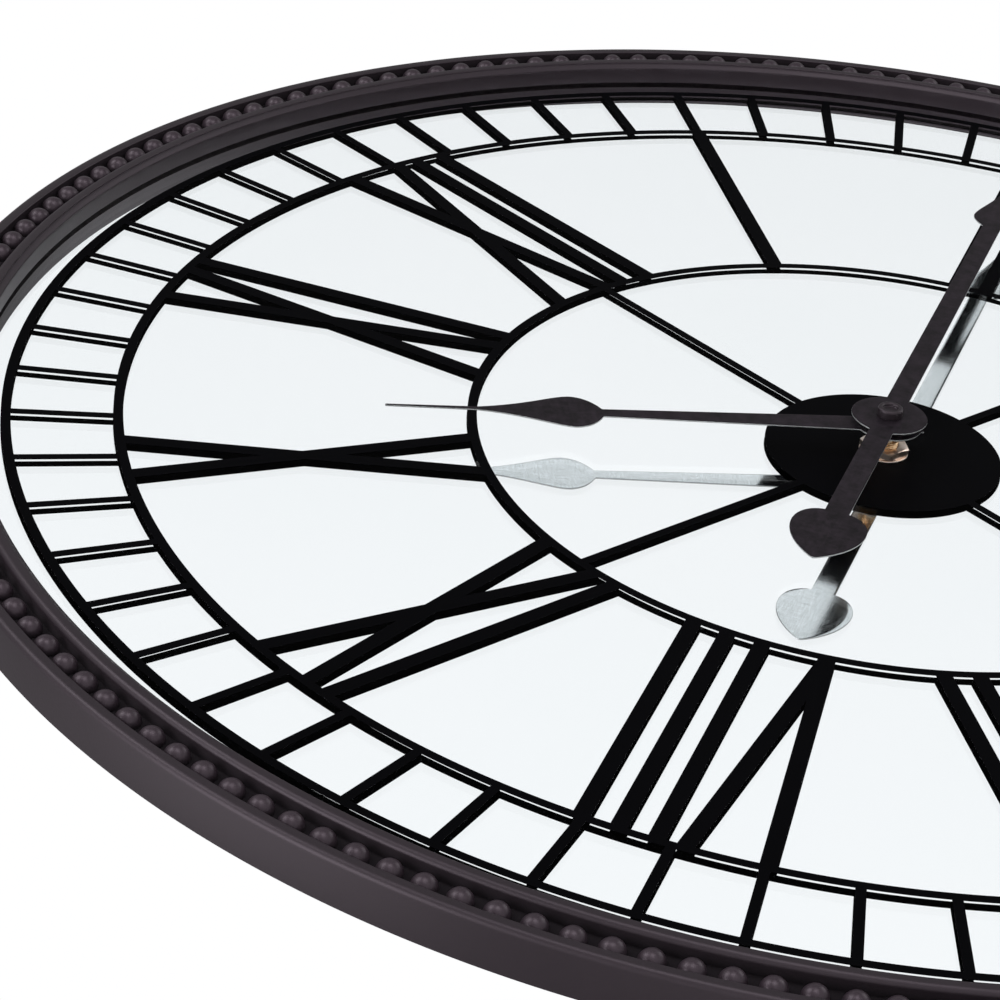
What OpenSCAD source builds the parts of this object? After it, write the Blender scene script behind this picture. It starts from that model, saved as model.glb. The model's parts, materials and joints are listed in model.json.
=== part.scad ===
// Wall clock: a round mirror dial in a beaded frame, Roman numerals printed on the glass,
// leaf-shaped hands and a battery movement behind the dial.
//
// Every module draws its piece in the clock's own frame: the dial's centre on the Z axis, +Y towards
// 12 o'clock, +Z towards the viewer and Z = 0 on the wall. hung() turns that into the part's frame:
// +Z up, the dial facing -Y, the wall at y = 0 and the origin on the screw that the clock hangs from.

/* [Clock] */
// Outer diameter of the frame
clock_d = 700; // [640:2:800]
// Depth from the wall to the front of the mirror glass
glass_front = 25.5; // [25:0.1:30]
// Clearance between a turning shaft and its hole, on the radius
running_gap = 0.06; // [0.03:0.01:0.08]

/* [Frame] */
// Width of the frame, from the inner edge of its lip to the outside
frame_w = 22.4; // [21.5:0.1:28]
// Depth from the glass front back to the frame's foot
foot_drop = 9.5; // [8.5:0.1:10.5]
// Height of the lip's crest above the glass front
crest_h = 8.7; // [7.8:0.1:10]
// Height of the outer rim above the glass front
rim_h = 6.9; // [6:0.1:8]
// Height of the bead groove's floor above the glass front
groove_h = 2.5; // [2:0.1:4]
// Play between the glass and the frame's rebate, on the radius
rebate_gap = 0.5; // [0.3:0.1:1]

/* [Beading] */
// Number of beads round the frame
bead_count = 180; // [150:1:190]
// Diameter of a bead
bead_d = 8.8; // [7:0.1:9.6]
// Distance from the outside of the frame in to the bead circle
bead_inset = 10; // [9.8:0.1:11]

/* [Mirror and back] */
// Thickness of the mirror glass
glass_t = 4; // [3:0.5:5]
// Thickness of the silvering behind the glass
silvering_t = 0.2; // [0.1:0.05:0.3]
// Thickness of the back board
board_t = 3; // [2.5:0.1:3.5]
// Thickness of the print on the glass
print_t = 0.15; // [0.1:0.05:0.3]
// Number of clips that hold the back board
clip_count = 8; // [4:1:12]
// Thickness of a clip's steel
clip_t = 1.2; // [0.8:0.1:1.5]

/* [Dial] */
// Distance from the lip in to the track's outer ring
track_margin = 12.1; // [10:0.1:20]
// Distance between the track's two rings
track_w = 39.3; // [30:0.1:44]
// Length of the numerals between the track and the inner ring
numeral_len = 126.3; // [100:0.1:140]
// Radius of the disc in the middle of the dial
centre_disc_r = 43.3; // [30:0.1:55]
// Width of the rings
ring_w = 3.2; // [2.6:0.1:5]
// Width of the minute marks and spokes
tick_w = 3.2; // [2.6:0.1:5]
// Width of the numerals' strokes
stroke_w = 5.7; // [4:0.1:7]

/* [Hands] */
// Length of the hour hand from the centre to its tip
hour_len = 183; // [170:1:200]
// Length of the minute hand from the centre to its tip
minute_len = 272; // [260:1:285]
// Length of the minute hand's tail
tail_len = 113; // [105:1:125]
// Thickness of a hand
hand_t = 0.6; // [0.5:0.1:0.8]
// Diameter of the hour hand's hub
hour_hub_d = 24.5; // [22:0.1:26]
// Diameter of the minute hand's hub
minute_hub_d = 27.6; // [25:0.1:30]
// Height of the hour hand's back face above the glass
hour_hand_h = 11; // [10.8:0.1:11.6]
// Height of the minute hand's back face above the glass
minute_hand_h = 14.5; // [14.4:0.1:15.4]
// Hour that the hands show
shown_hour = 10; // [0:1:11]
// Minute that the hands show
shown_minute = 10; // [0:1:59]

/* [Movement] */
// Width and height of the movement's case
case_w = 56; // [56:0.5:60]
// Depth of the movement's case
case_d = 16; // [15.8:0.1:16.4]
// Distance from the hand shaft down to the case's lower edge
case_drop = 36; // [36:0.5:38]
// Wall thickness of the case
case_wall = 1.5; // [1.2:0.1:1.6]
// Thickness of the rubber washer between the case and the back board
rubber_t = 0.8; // [0.5:0.1:1]
// Outside diameter of the threaded bushing
bushing_d = 10; // [9.8:0.1:10.2]
// Height of the bushing above the glass
bushing_h = 5.6; // [5:0.1:6.2]
// Width of the fixing nut across its flats
nut_af = 16; // [14:0.5:17]
// Thickness of the fixing nut
nut_t = 3; // [2.5:0.1:3.2]
// Outside diameter of the hour hand's pipe
hour_pipe_d = 6.1; // [5.8:0.1:6.4]
// Diameter of the minute hand's shaft
minute_shaft_d = 4; // [3.8:0.1:4.2]
// Diameter of the threaded end of the minute shaft
stub_d = 3; // [2.6:0.1:3.2]
// Diameter of the battery cell
cell_d = 14.5; // [13.8:0.1:14.5]
// Length of the battery cell
cell_len = 50.5; // [49.5:0.1:50.6]

/* [Wheel train] */
// Tooth module of the rotor pinion and the intermediate wheel
motor_module = 0.4; // [0.38:0.01:0.4]
// Tooth module of the intermediate pinion and the seconds wheel
seconds_module = 0.45; // [0.44:0.01:0.45]
// Tooth module of the seconds pinion and the third wheel
train_module = 0.36; // [0.35:0.01:0.36]
// Tooth module of the cannon pinion and the motion wheel
motion_module = 0.55; // [0.54:0.01:0.55]
// Radius of the thin arbors
arbor_r = 0.5; // [0.4:0.05:0.6]
// Radius of the setting arbor
setting_r = 1.2; // [1:0.1:1.3]
// Diameter of the setting knob
knob_d = 13; // [10:0.5:14]

/* [Hanging] */
// Distance from the clock's outer edge down to the screw that carries it
hang_inset = 100; // [90:5:120]
// Diameter of the keyhole's round entry
keyhole_d = 11; // [10:0.5:12]
// Width of the keyhole's slot
slot_w = 5.5; // [4.5:0.1:6]
// Thickness of the hanger's steel
hanger_t = 1.5; // [1.2:0.1:2]
// Diameter of a wall bumper
bumper_d = 16; // [12:1:20]

/* [Hidden] */
$fn = 96;

// Cutting bodies run this far past the faces that they cut
past = 1;

// ---- Radii of the frame and the dial ----
clock_r = clock_d / 2;
lip_r = clock_r - frame_w;
lip_overlap = 6.4;
glass_r = lip_r + lip_overlap;
rebate_r = glass_r + rebate_gap;
bead_r = bead_d / 2;
bead_circle_r = clock_r - bead_inset;
bead_sink = 0.6;
bead_inner_gap = 1.4;
bead_outer_gap = 0.2;
groove_in_r = bead_circle_r - bead_r - bead_inner_gap;
groove_out_r = bead_circle_r + bead_r + bead_outer_gap;
track_out_r = lip_r - track_margin;
track_in_r = track_out_r - track_w;
inner_ring_r = track_in_r - numeral_len;
hang_r = clock_r - hang_inset;

// ---- Depths, counted from the wall ----
glass_back = glass_front - glass_t;
board_front = glass_back - silvering_t;
board_back = board_front - board_t;
case_front = board_back - rubber_t;
case_back = case_front - case_d;
frame_foot = glass_front - foot_drop;
hour_hand_z = glass_front + hour_hand_h;
minute_hand_z = glass_front + minute_hand_h;

// ---- Time shown: the hour hand creeps on with the minutes ----
minute_angle = 6 * shown_minute;
hour_angle = 30 * shown_hour + minute_angle / 12;

// ---- Colours ----
charcoal = [0.24, 0.22, 0.23];
ink = [0.02, 0.02, 0.03];
mirror_c = [0.85, 0.88, 0.9];
glass_c = [0.8, 0.9, 0.88, 0.5];
board_c = [0.45, 0.34, 0.24];
steel_c = [0.7, 0.71, 0.73];
brass_c = [0.78, 0.64, 0.35];
copper_c = [0.75, 0.4, 0.22];
rubber_c = [0.12, 0.12, 0.12];
case_c = [0.1, 0.1, 0.11];
gear_c = [0.9, 0.9, 0.86];
magnet_c = [0.3, 0.3, 0.32];
circuit_c = [0.1, 0.35, 0.18];

// ---- Points and outlines ----
function polar(r, a) = [r * cos(a), r * sin(a)];

function arc(centre, r, from, to, steps) =
    [for (i = [0:steps]) centre + polar(r, from + (to - from) * i / steps)];

function bezier(a, b, c, d, steps) =
    [for (i = [0:steps]) let (t = i / steps, s = 1 - t)
        s * s * s * a + 3 * s * s * t * b + 3 * s * t * t * c + t * t * t * d];

// The outline whose right-hand side is given, from its lowest point to its highest
function both_sides(side) =
    concat(side, [for (i = [len(side) - 1:-1:0]) [-side[i][0], side[i][1]]]);

// ---- Placing ----
// From the clock's own frame to the part's frame
module hung() {
    rotate([90, 0, 0]) translate([0, -hang_r, 0]) children();
}

// At a clock angle, counted clockwise from 12, and a radius
module at_clock(angle, r = 0) {
    rotate([0, 0, -angle]) translate([0, r, 0]) children();
}

module raised(z) {
    translate([0, 0, z]) children();
}

module ring(inner_r, outer_r, h) {
    difference() {
        cylinder(r = outer_r, h = h);
        raised(-past) cylinder(r = inner_r, h = h + 2 * past);
    }
}

module annulus(inner_r, outer_r) {
    difference() {
        circle(r = outer_r);
        circle(r = inner_r);
    }
}

// A box given by its two opposite corners
module box(low, high) {
    translate(low) cube(high - low);
}

// ---- Frame ----
rim_round = 2.2;
arris_h = 6.7;
arris_slope_w = 1.9;
arris_slope_h = 1.2;
crest_round = 2;
screw_r = 1.5;
screw_head_r = 3;
screw_head_h = 2;
clip_screw_len = 9;
clip_screw_r = rebate_r + 6.5;
clip_start = 180 / clip_count;

// Half section of the frame: radius across, height above the glass front up
function frame_section() = concat(
    [[rebate_r, -foot_drop], [clock_r, -foot_drop]],
    [[clock_r - 0.5, rim_h - rim_round]],
    arc([clock_r - 0.5 - rim_round, rim_h - rim_round], rim_round, 0, 90, 8),
    [[groove_out_r, rim_h - 1], [groove_out_r, groove_h], [groove_in_r, groove_h]],
    arc([groove_in_r - crest_round, crest_h - crest_round], crest_round, 0, 90, 6),
    [[lip_r + arris_slope_w + 0.5, crest_h - 0.3], [lip_r + arris_slope_w, arris_h + arris_slope_h],
     [lip_r + 0.3, arris_h], [lip_r - 0.05, arris_h - 0.3], [lip_r, 0], [rebate_r, 0]]);

module clip_screw_holes() {
    for (i = [0:clip_count - 1])
        at_clock(clip_start + i * 360 / clip_count, clip_screw_r)
            raised(frame_foot - past) cylinder(r = screw_r, h = clip_screw_len - clip_t + past);
}

module frame() {
    color(charcoal) hung() difference() {
        raised(glass_front) rotate_extrude($fn = 180) polygon(frame_section());
        clip_screw_holes();
    }
}

// ---- Beading: domes seated on the groove's floor ----
module bead() {
    intersection() {
        raised(bead_sink) sphere(r = bead_r, $fn = 32);
        cylinder(r = 2 * bead_r, h = 2 * bead_d);
    }
}

module beading() {
    color(charcoal) hung() raised(glass_front + groove_h)
        for (i = [0:bead_count - 1]) at_clock(i * 360 / bead_count, bead_circle_r) bead();
}

// ---- Mirror: clear glass with the silvering behind it ----
dial_hole_r = bushing_d / 2 + 0.5;

module mirror_glass() {
    color(glass_c) hung() raised(glass_back) ring(dial_hole_r, glass_r, glass_t);
}

module mirror_silvering() {
    color(mirror_c) hung() raised(board_front) ring(dial_hole_r, glass_r - 0.5, silvering_t);
}

// ---- Print: rings, minute marks, spokes and Roman numerals ----
numeral_words = ["XII", "I", "II", "III", "IIII", "V", "VI", "VII", "VIII", "IX", "X", "XI"];
x_half = 12.3;
v_half = 13;
i_pitch = 12.2;
letter_gap = 9;

// Half the width of a letter between the centre-lines of its outer strokes
function letter_half(letter) = letter == "X" ? x_half : letter == "V" ? v_half : 0;

// Distance between the centres of two letters that stand side by side
function letter_step(left, right) =
    left == "I" && right == "I" ? i_pitch : letter_half(left) + letter_gap + letter_half(right);

// Centre of letter i, counted from the centre of the word's first letter
function letter_place(word, i) =
    i == 0 ? 0 : letter_place(word, i - 1) + letter_step(word[i - 1], word[i]);

// The middle between the outer edges of a word, counted from its first letter's centre
function word_middle(word) = let (last = len(word) - 1)
    (letter_place(word, last) + letter_half(word[last]) - letter_half(word[0])) / 2;

// A stroke from x = foot_x at the inner ring to x = head_x at the track
module stroke(foot_x, head_x) {
    lean = (head_x - foot_x) / (track_in_r - inner_ring_r);
    half = stroke_w / 2 * sqrt(1 + lean * lean);
    low = inner_ring_r - 10;
    high = track_in_r + 10;
    foot = foot_x - lean * 10;
    head = head_x + lean * 10;
    polygon([[foot - half, low], [foot + half, low], [head + half, high], [head - half, high]]);
}

module letter(name) {
    if (name == "I") stroke(0, 0);
    if (name == "V") {
        stroke(0, -v_half);
        stroke(0, v_half);
    }
    if (name == "X") {
        stroke(-x_half, x_half);
        stroke(x_half, -x_half);
    }
}

module numeral(hour) {
    word = numeral_words[hour];
    at_clock(30 * hour) for (i = [0:len(word) - 1])
        translate([letter_place(word, i) - word_middle(word), 0]) letter(word[i]);
}

module numerals() {
    intersection() {
        for (hour = [0:11]) numeral(hour);
        annulus(inner_ring_r, track_in_r);
    }
}

module minute_marks() {
    for (minute = [0:59]) at_clock(6 * minute)
        translate([-tick_w / 2, track_in_r]) square([tick_w, track_w]);
}

module spokes() {
    spoke_from = centre_disc_r - 1;
    for (quarter = [0:3]) at_clock(90 * quarter)
        translate([-tick_w / 2, spoke_from]) square([tick_w, inner_ring_r - spoke_from]);
}

module ring_line(r) {
    annulus(r - ring_w / 2, r + ring_w / 2, $fn = 180);
}

module dial_print() {
    color(ink) hung() raised(glass_front) linear_extrude(print_t) {
        annulus(dial_hole_r, centre_disc_r);
        spokes();
        ring_line(inner_ring_r);
        numerals();
        ring_line(track_in_r);
        minute_marks();
        ring_line(track_out_r);
    }
}

// ---- Back board and what holds it ----
clip_w = 12;
clip_foot_len = 12;
clip_tab_len = 11;

module hanger_screw_places() {
    for (x = [-hanger_hole_x, hanger_hole_x]) for (y = [-hanger_hole_y, hanger_hole_y])
        translate([x, hang_r + hanger_mid + y, 0]) children();
}

module back_board() {
    color(board_c) hung() difference() {
        raised(board_back) ring(dial_hole_r, glass_r, board_t);
        hanger_screw_places() raised(board_back - past) cylinder(r = screw_r, h = board_screw_len + past);
    }
}

// Z-shaped strip: its foot is screwed under the frame and its tab presses on the board
module board_clip() {
    riser = rebate_r - 0.1;
    foot_z = frame_foot - clip_t;
    rotate([90, 0, 90]) translate([0, 0, -clip_w / 2]) linear_extrude(clip_w) polygon([
        [riser - clip_t, foot_z], [riser + clip_foot_len, foot_z], [riser + clip_foot_len, frame_foot],
        [riser, frame_foot], [riser, board_back], [riser - clip_tab_len, board_back],
        [riser - clip_tab_len, board_back - clip_t], [riser - clip_t, board_back - clip_t]]);
}

module board_clips() {
    color(steel_c) hung() difference() {
        for (i = [0:clip_count - 1]) at_clock(clip_start + i * 360 / clip_count) board_clip();
        for (i = [0:clip_count - 1]) at_clock(clip_start + i * 360 / clip_count, clip_screw_r)
            raised(frame_foot - clip_t - past) cylinder(r = screw_r, h = clip_t + 2 * past);
    }
}

// A pan-head screw that points towards the viewer, with its head's seat at Z = 0
module screw(len, r = screw_r, head_r = screw_head_r, head_h = screw_head_h) {
    difference() {
        union() {
            cylinder(r = r, h = len);
            raised(-head_h) cylinder(r = head_r, h = head_h);
        }
        for (a = [0, 90]) rotate([0, 0, a]) translate([-head_r * 0.55, -r * 0.2, -head_h - past])
            cube([head_r * 1.1, r * 0.4, head_h / 2 + past]);
    }
}

module clip_screws() {
    color(steel_c) hung() for (i = [0:clip_count - 1])
        at_clock(clip_start + i * 360 / clip_count, clip_screw_r)
            raised(frame_foot - clip_t) screw(clip_screw_len);
}

// ---- Hanger: a steel bridge with a keyhole, held off the board by its two webs ----
hanger_low = case_back;
hanger_half = 20;
hanger_flange = 15;
hanger_below = 26;
hanger_above = 12;
hanger_mid = (hanger_above - hanger_below) / 2;
hanger_hole_x = hanger_half + hanger_flange / 2;
hanger_hole_y = 12;
keyhole_drop = 13;
board_screw_len = 2.4;

module keyhole() {
    translate([0, -keyhole_drop, 0]) cylinder(d = keyhole_d, h = hanger_t + 2 * past);
    translate([-slot_w / 2, -keyhole_drop, 0]) cube([slot_w, keyhole_drop, hanger_t + 2 * past]);
    cylinder(d = slot_w, h = hanger_t + 2 * past);
}

module hanger_plate() {
    low = hang_r - hanger_below;
    high = hang_r + hanger_above;
    color(steel_c) hung() difference() {
        union() {
            box([-hanger_half, low, hanger_low], [hanger_half, high, hanger_low + hanger_t]);
            for (side = [0, 1]) mirror([side, 0, 0]) {
                box([hanger_half - hanger_t, low, hanger_low], [hanger_half, high, board_back]);
                box([hanger_half - hanger_t, low, board_back - hanger_t],
                    [hanger_half + hanger_flange, high, board_back]);
            }
        }
        translate([0, hang_r, hanger_low - past]) keyhole();
        hanger_screw_places() raised(board_back - hanger_t - past)
            cylinder(r = screw_r, h = hanger_t + 2 * past);
    }
}

module hanger_screws() {
    color(steel_c) hung() hanger_screw_places()
        raised(board_back - hanger_t) screw(hanger_t + board_screw_len);
}

// ---- Rubber bumpers that hold the clock off the wall ----
bumper_circle_r = glass_r - 34;

module wall_bumpers() {
    color(rubber_c) hung() for (angle = [45:90:315])
        at_clock(angle, bumper_circle_r) cylinder(d = bumper_d, h = board_back);
}

// ---- Hands: each outline is given by its right-hand side, from the tail to the tip ----
tip_w = 1;
curve_steps = 10;

// A leaf that swells from the bar's half-width to its widest point and runs out to the tip
function leaf(start, bar_half, wide, wide_at, needle_at) = concat(
    bezier([bar_half, start], [wide * 0.5, start + wide_at * 0.14],
        [wide * 0.97, start + wide_at * 0.47], [wide, start + wide_at], curve_steps),
    bezier([wide, start + wide_at], [wide, start + wide_at + needle_at * 0.19],
        [wide * 0.36, start + wide_at + needle_at * 0.45],
        [tip_w, start + wide_at + needle_at], curve_steps));

hour_bar_in = 5.25;
hour_bar_out = 2.6;
hour_point_len = 78.3;
hour_leaf_from = hour_len - hour_point_len;
hour_leaf_half = 11.1;
hour_leaf_rise = 10.8;
hour_leaf_fall = 34.5;

minute_bar_in = 4.15;
minute_bar_out = 3.7;
minute_point_len = 92.5;
minute_leaf_from = minute_len - minute_point_len;
minute_leaf_half = 9;
minute_leaf_rise = 8.5;
minute_leaf_fall = 37;

tail_bar = 4.3;
tail_wide = 13.2;
tail_point = 0.6;
tail_rise = 22;
tail_fall = 12;
tail_from = tail_len - tail_rise - tail_fall;

function hour_side() = concat([[hour_bar_in, 0]],
    leaf(hour_leaf_from, hour_bar_out, hour_leaf_half, hour_leaf_rise, hour_leaf_fall),
    [[tip_w / 2, hour_len]]);

function minute_side() = concat([[minute_bar_in, 0]],
    leaf(minute_leaf_from, minute_bar_out, minute_leaf_half, minute_leaf_rise, minute_leaf_fall),
    [[tip_w / 2, minute_len]]);

// The spade that balances the minute hand, from its blunt point up to the bar
function tail_side() = concat(
    bezier([tail_point, -tail_len], [tail_wide * 0.55, -tail_len + tail_rise * 0.22],
        [tail_wide, -tail_len + tail_rise * 0.59], [tail_wide, -tail_len + tail_rise], curve_steps),
    bezier([tail_wide, -tail_len + tail_rise], [tail_wide, -tail_from - tail_fall * 0.46],
        [tail_wide * 0.72, -tail_from - tail_fall * 0.05], [tail_bar, -tail_from], curve_steps),
    [[tail_bar, 0]]);

module hand_blade(side, hub_d, hole_r) {
    linear_extrude(hand_t) difference() {
        union() {
            polygon(both_sides(side));
            circle(d = hub_d);
        }
        circle(r = hole_r);
    }
}

module hour_hand() {
    color(charcoal) hung() at_clock(hour_angle) raised(hour_hand_z)
        hand_blade(hour_side(), hour_hub_d, hour_pipe_d / 2);
}

module minute_hand() {
    color(charcoal) hung() at_clock(minute_angle) raised(minute_hand_z)
        hand_blade(concat(tail_side(), minute_side()), minute_hub_d, stub_d / 2);
}

// ---- Collets under the hands and the nut on top ----
collet_flange_r = 6;
collet_flange_t = 0.8;
collet_wall = 1.15;
hour_collet_len = 4.5;
shaft_shoulder = minute_hand_z - 1.4;
hand_nut_r = 4.6;
hand_nut_h = 3.45;
hand_nut_recess_r = 2.6;
hand_nut_recess_h = 1.2;
hand_nut_round = 1;
hand_nut_lip = 0.9;

module collet(bore_r, from, to) {
    raised(from) ring(bore_r, bore_r + collet_wall, to - from);
    raised(to - collet_flange_t) ring(bore_r, collet_flange_r, collet_flange_t);
}

module hour_collet() {
    color(brass_c) hung() collet(hour_pipe_d / 2, hour_hand_z - hour_collet_len, hour_hand_z);
}

module minute_collet() {
    color(brass_c) hung() collet(stub_d / 2, shaft_shoulder, minute_hand_z);
}

// A round cap with a hollow in its top, whose lip is rounded on both sides
module hand_nut() {
    hollow_floor = hand_nut_h - hand_nut_recess_h;
    color(charcoal) hung() raised(minute_hand_z + hand_t) rotate_extrude() polygon(concat(
        [[stub_d / 2, 0], [hand_nut_r, 0]],
        arc([hand_nut_r - hand_nut_round, hand_nut_h - hand_nut_round], hand_nut_round, 0, 90, 5),
        arc([hand_nut_recess_r + hand_nut_lip, hand_nut_h - hand_nut_lip], hand_nut_lip, 90, 180, 5),
        [[hand_nut_recess_r, hollow_floor], [stub_d / 2, hollow_floor]]));
}

// ---- Fixing of the movement through the dial ----
washer_t = 0.6;
washer_r = 9;
washer_seat = glass_front + print_t;
nut_seat = washer_seat + washer_t;
bushing_flange_r = 6.5;
bushing_flange_t = 1.2;
case_inside = case_front - case_wall;

module fixing_nut() {
    corner_r = nut_af / 2 / cos(30);
    color(brass_c) hung() raised(nut_seat) difference() {
        intersection() {
            cylinder(r = corner_r, h = nut_t, $fn = 6);
            rotate_extrude() polygon([[0, 0], [corner_r - 0.7, 0], [corner_r, 0.4], [corner_r, nut_t - 0.4],
                [corner_r - 0.9, nut_t], [0, nut_t]]);
        }
        raised(-past) cylinder(d = bushing_d, h = nut_t + 2 * past);
    }
}

module brass_washer() {
    color(brass_c) hung() raised(washer_seat) ring(bushing_d / 2, washer_r, washer_t);
}

module rubber_washer() {
    color(rubber_c) hung() raised(case_front) ring(bushing_d / 2, 12, rubber_t);
}

module threaded_bushing() {
    bore_r = hour_pipe_d / 2 + running_gap;
    color(brass_c) hung() {
        raised(case_inside - bushing_flange_t) ring(bore_r, bushing_flange_r, bushing_flange_t);
        raised(case_inside) ring(bore_r, bushing_d / 2, glass_front + bushing_h - case_inside);
    }
}

// ---- Movement case: a tray with the wheel chamber above and the battery bay below ----
case_half = case_w / 2;
case_rise = case_w - case_drop;
case_round = 2;
in_half = case_half - case_wall;
chamber_top = case_rise - case_wall;
chamber_low = -17.5;
partition_t = 1.2;
bay_high = chamber_low - partition_t;
bay_low = -case_drop + case_wall;
bay_front = case_front - 0.8;
cover_t = 1.2;
cover_back = case_back + 1.5;
cover_front = cover_back + cover_t;
post_r = 1.6;
post_screw_r = 0.7;
post_screw_len = 4;
plate_t = 0.6;
plate_back = cover_front + 4.9;
plate_front = plate_back + plate_t;
post_places = [[-24, -15], [24, -15], [24, 15.5]];

module case_block() {
    low = [-case_half + case_round, -case_drop + case_round];
    high = [case_half - case_round, case_rise - case_round];
    difference() {
        raised(case_back) linear_extrude(case_d) union() {
            translate([low.x, -case_drop]) square([high.x - low.x, case_w]);
            translate([-case_half, low.y]) square([case_w, high.y - low.y]);
            for (x = [low.x, high.x]) for (y = [low.y, high.y]) translate([x, y]) circle(r = case_round);
        }
        box([-in_half, chamber_low, case_back - past], [in_half, chamber_top, case_inside]);
        box([-in_half, bay_low, case_back - past], [in_half, bay_high, bay_front]);
    }
}

module movement_front() {
    color(case_c) hung() difference() {
        union() {
            case_block();
            for (p = post_places) translate([p.x, p.y, plate_front])
                cylinder(r = post_r, h = case_inside - plate_front);
        }
        raised(case_inside - past) cylinder(d = bushing_d, h = case_wall + 2 * past);
        for (p = post_places) translate([p.x, p.y, plate_front - past])
            cylinder(r = post_screw_r, h = post_screw_len + past);
        translate([motion_at.x, motion_at.y, case_inside - past])
            cylinder(r = setting_r + running_gap, h = past + 1);
        translate([third_at.x, third_at.y, case_inside - past])
            cylinder(r = arbor_r + running_gap, h = past + 0.8);
    }
}

board_post_places = [[24, -11], [24, 11]];

module movement_back() {
    pivot_depth = cover_front - cover_back - 0.3;
    color(case_c) hung() difference() {
        union() {
            box([-in_half, chamber_low, cover_back], [in_half, chamber_top, cover_front]);
            for (p = board_post_places) translate([p.x, p.y, cover_front]) cylinder(r = 1, h = circuit_lift);
        }
        for (p = [rotor_at, intermediate_at, [0, 0], third_at])
            translate([p.x, p.y, cover_front - pivot_depth])
                cylinder(r = arbor_r + running_gap, h = pivot_depth + past);
        translate([motion_at.x, motion_at.y, cover_back - past])
            cylinder(r = setting_r + running_gap, h = cover_t + 2 * past);
    }
}

module middle_plate() {
    side_gap = 0.2;
    coil_clear = coil_at.y - coil_flange_r - 0.3;
    color(case_c) hung() difference() {
        union() {
            box([-in_half + side_gap, chamber_low + side_gap, plate_back],
                [in_half - side_gap, coil_clear, plate_front]);
            box([coil_core_to + 1.2, coil_clear - past, plate_back],
                [in_half - side_gap, chamber_top - side_gap, plate_front]);
        }
        for (p = [rotor_at, intermediate_at, [0, 0], third_at]) translate([p.x, p.y, plate_back - past])
            cylinder(r = arbor_r + running_gap, h = plate_t + 2 * past);
        translate([motion_at.x, motion_at.y, plate_back - past])
            cylinder(r = setting_r + running_gap, h = plate_t + 2 * past);
        for (p = post_places) translate([p.x, p.y, plate_back - past])
            cylinder(r = post_screw_r, h = plate_t + 2 * past);
    }
}

module plate_screws() {
    color(steel_c) hung() for (p = post_places) translate([p.x, p.y, plate_back])
        screw(plate_t + post_screw_len, post_screw_r, 1.4, 0.9);
}

// ---- Circuit ----
circuit_lift = 0.4;
circuit_t = 0.8;
circuit_back = cover_front + circuit_lift;
circuit_front = circuit_back + circuit_t;
circuit_from = 14.5;
crystal_r = 1;

module circuit_board() {
    color(circuit_c) hung() box([circuit_from, -13, circuit_back], [in_half - 1, 13, circuit_front]);
}

module chip_cover() {
    color(rubber_c) hung() translate([19.5, -6, circuit_front]) intersection() {
        raised(-3.4) sphere(r = 4.5);
        cylinder(r = 5, h = 5);
    }
}

module quartz_crystal() {
    color(steel_c) hung() translate([18, 2, circuit_front + crystal_r]) rotate([-90, 0, 0])
        cylinder(r = crystal_r, h = 6);
}

// ---- Motor ----
stator_t = 1.2;
stator_back = plate_back - 0.1 - stator_t;
stator_front = stator_back + stator_t;
core_t = 1.2;
core_half = 1.5;
coil_core_from = -25.5;
coil_core_to = -2.5;
coil_from = -20.2;
coil_to = -7.8;
coil_flange_r = 3.5;
coil_flange_t = 0.8;
coil_tube_r = 2;
coil_at = [(coil_from + coil_to) / 2, chamber_top - coil_flange_r - 0.4];
coil_z = stator_front + core_t / 2;
magnet_r = 3;
magnet_t = 1.4;
rotor_hole_r = 3.5;

module stator() {
    arm_top = coil_at.y + 3.2;
    bend_top = coil_at.y - coil_flange_r - 0.3;
    color(steel_c) hung() raised(stator_back) linear_extrude(stator_t) difference() {
        union() {
            translate([coil_core_from, -5]) square([13, 12]);
            translate([coil_core_from, 7]) square([coil_from - 0.4 - coil_core_from, arm_top - 7]);
            translate([-17.5, 7]) square([coil_core_to + 17.5, bend_top - 7]);
            translate([coil_to + 0.6, bend_top]) square([coil_core_to - coil_to - 0.6, arm_top - bend_top]);
        }
        translate(rotor_at) circle(r = rotor_hole_r);
        translate([rotor_at.x - 0.3, rotor_at.y]) square([0.6, 20]);
    }
}

module coil_core() {
    color(steel_c) hung() box([coil_core_from, coil_at.y - core_half, stator_front],
        [coil_core_to, coil_at.y + core_half, stator_front + core_t]);
}

// A tube along X, from one x to another, round the coil's axis
module coil_tube(from, to, r) {
    translate([from, coil_at.y, coil_z]) rotate([0, 90, 0]) cylinder(r = r, h = to - from);
}

module coil_bobbin() {
    color(gear_c) hung() difference() {
        union() {
            coil_tube(coil_from, coil_to, coil_tube_r);
            coil_tube(coil_from, coil_from + coil_flange_t, coil_flange_r);
            coil_tube(coil_to - coil_flange_t, coil_to, coil_flange_r);
        }
        box([coil_from - past, coil_at.y - core_half, coil_z - core_t / 2],
            [coil_to + past, coil_at.y + core_half, coil_z + core_t / 2]);
    }
}

module coil_winding() {
    from = coil_from + coil_flange_t;
    to = coil_to - coil_flange_t;
    color(copper_c) hung() difference() {
        coil_tube(from, to, coil_flange_r - 0.3);
        coil_tube(from - past, to + past, coil_tube_r);
    }
}

// ---- Wheel train: teeth, places and heights ----
leaf_teeth = 8;
motor_teeth = 48;
seconds_teeth = 40;
third_teeth = 60;
centre_teeth = 64;
cannon_teeth = 12;
motion_teeth = 36;
motion_leaf_teeth = 10;
hour_teeth = 40;

function mesh_distance(a_teeth, b_teeth, tooth_module) = tooth_module * (a_teeth + b_teeth) / 2;

// The module that gives two wheels the same centre distance as another pair
function matched_module(distance, a_teeth, b_teeth) = 2 * distance / (a_teeth + b_teeth);

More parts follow.
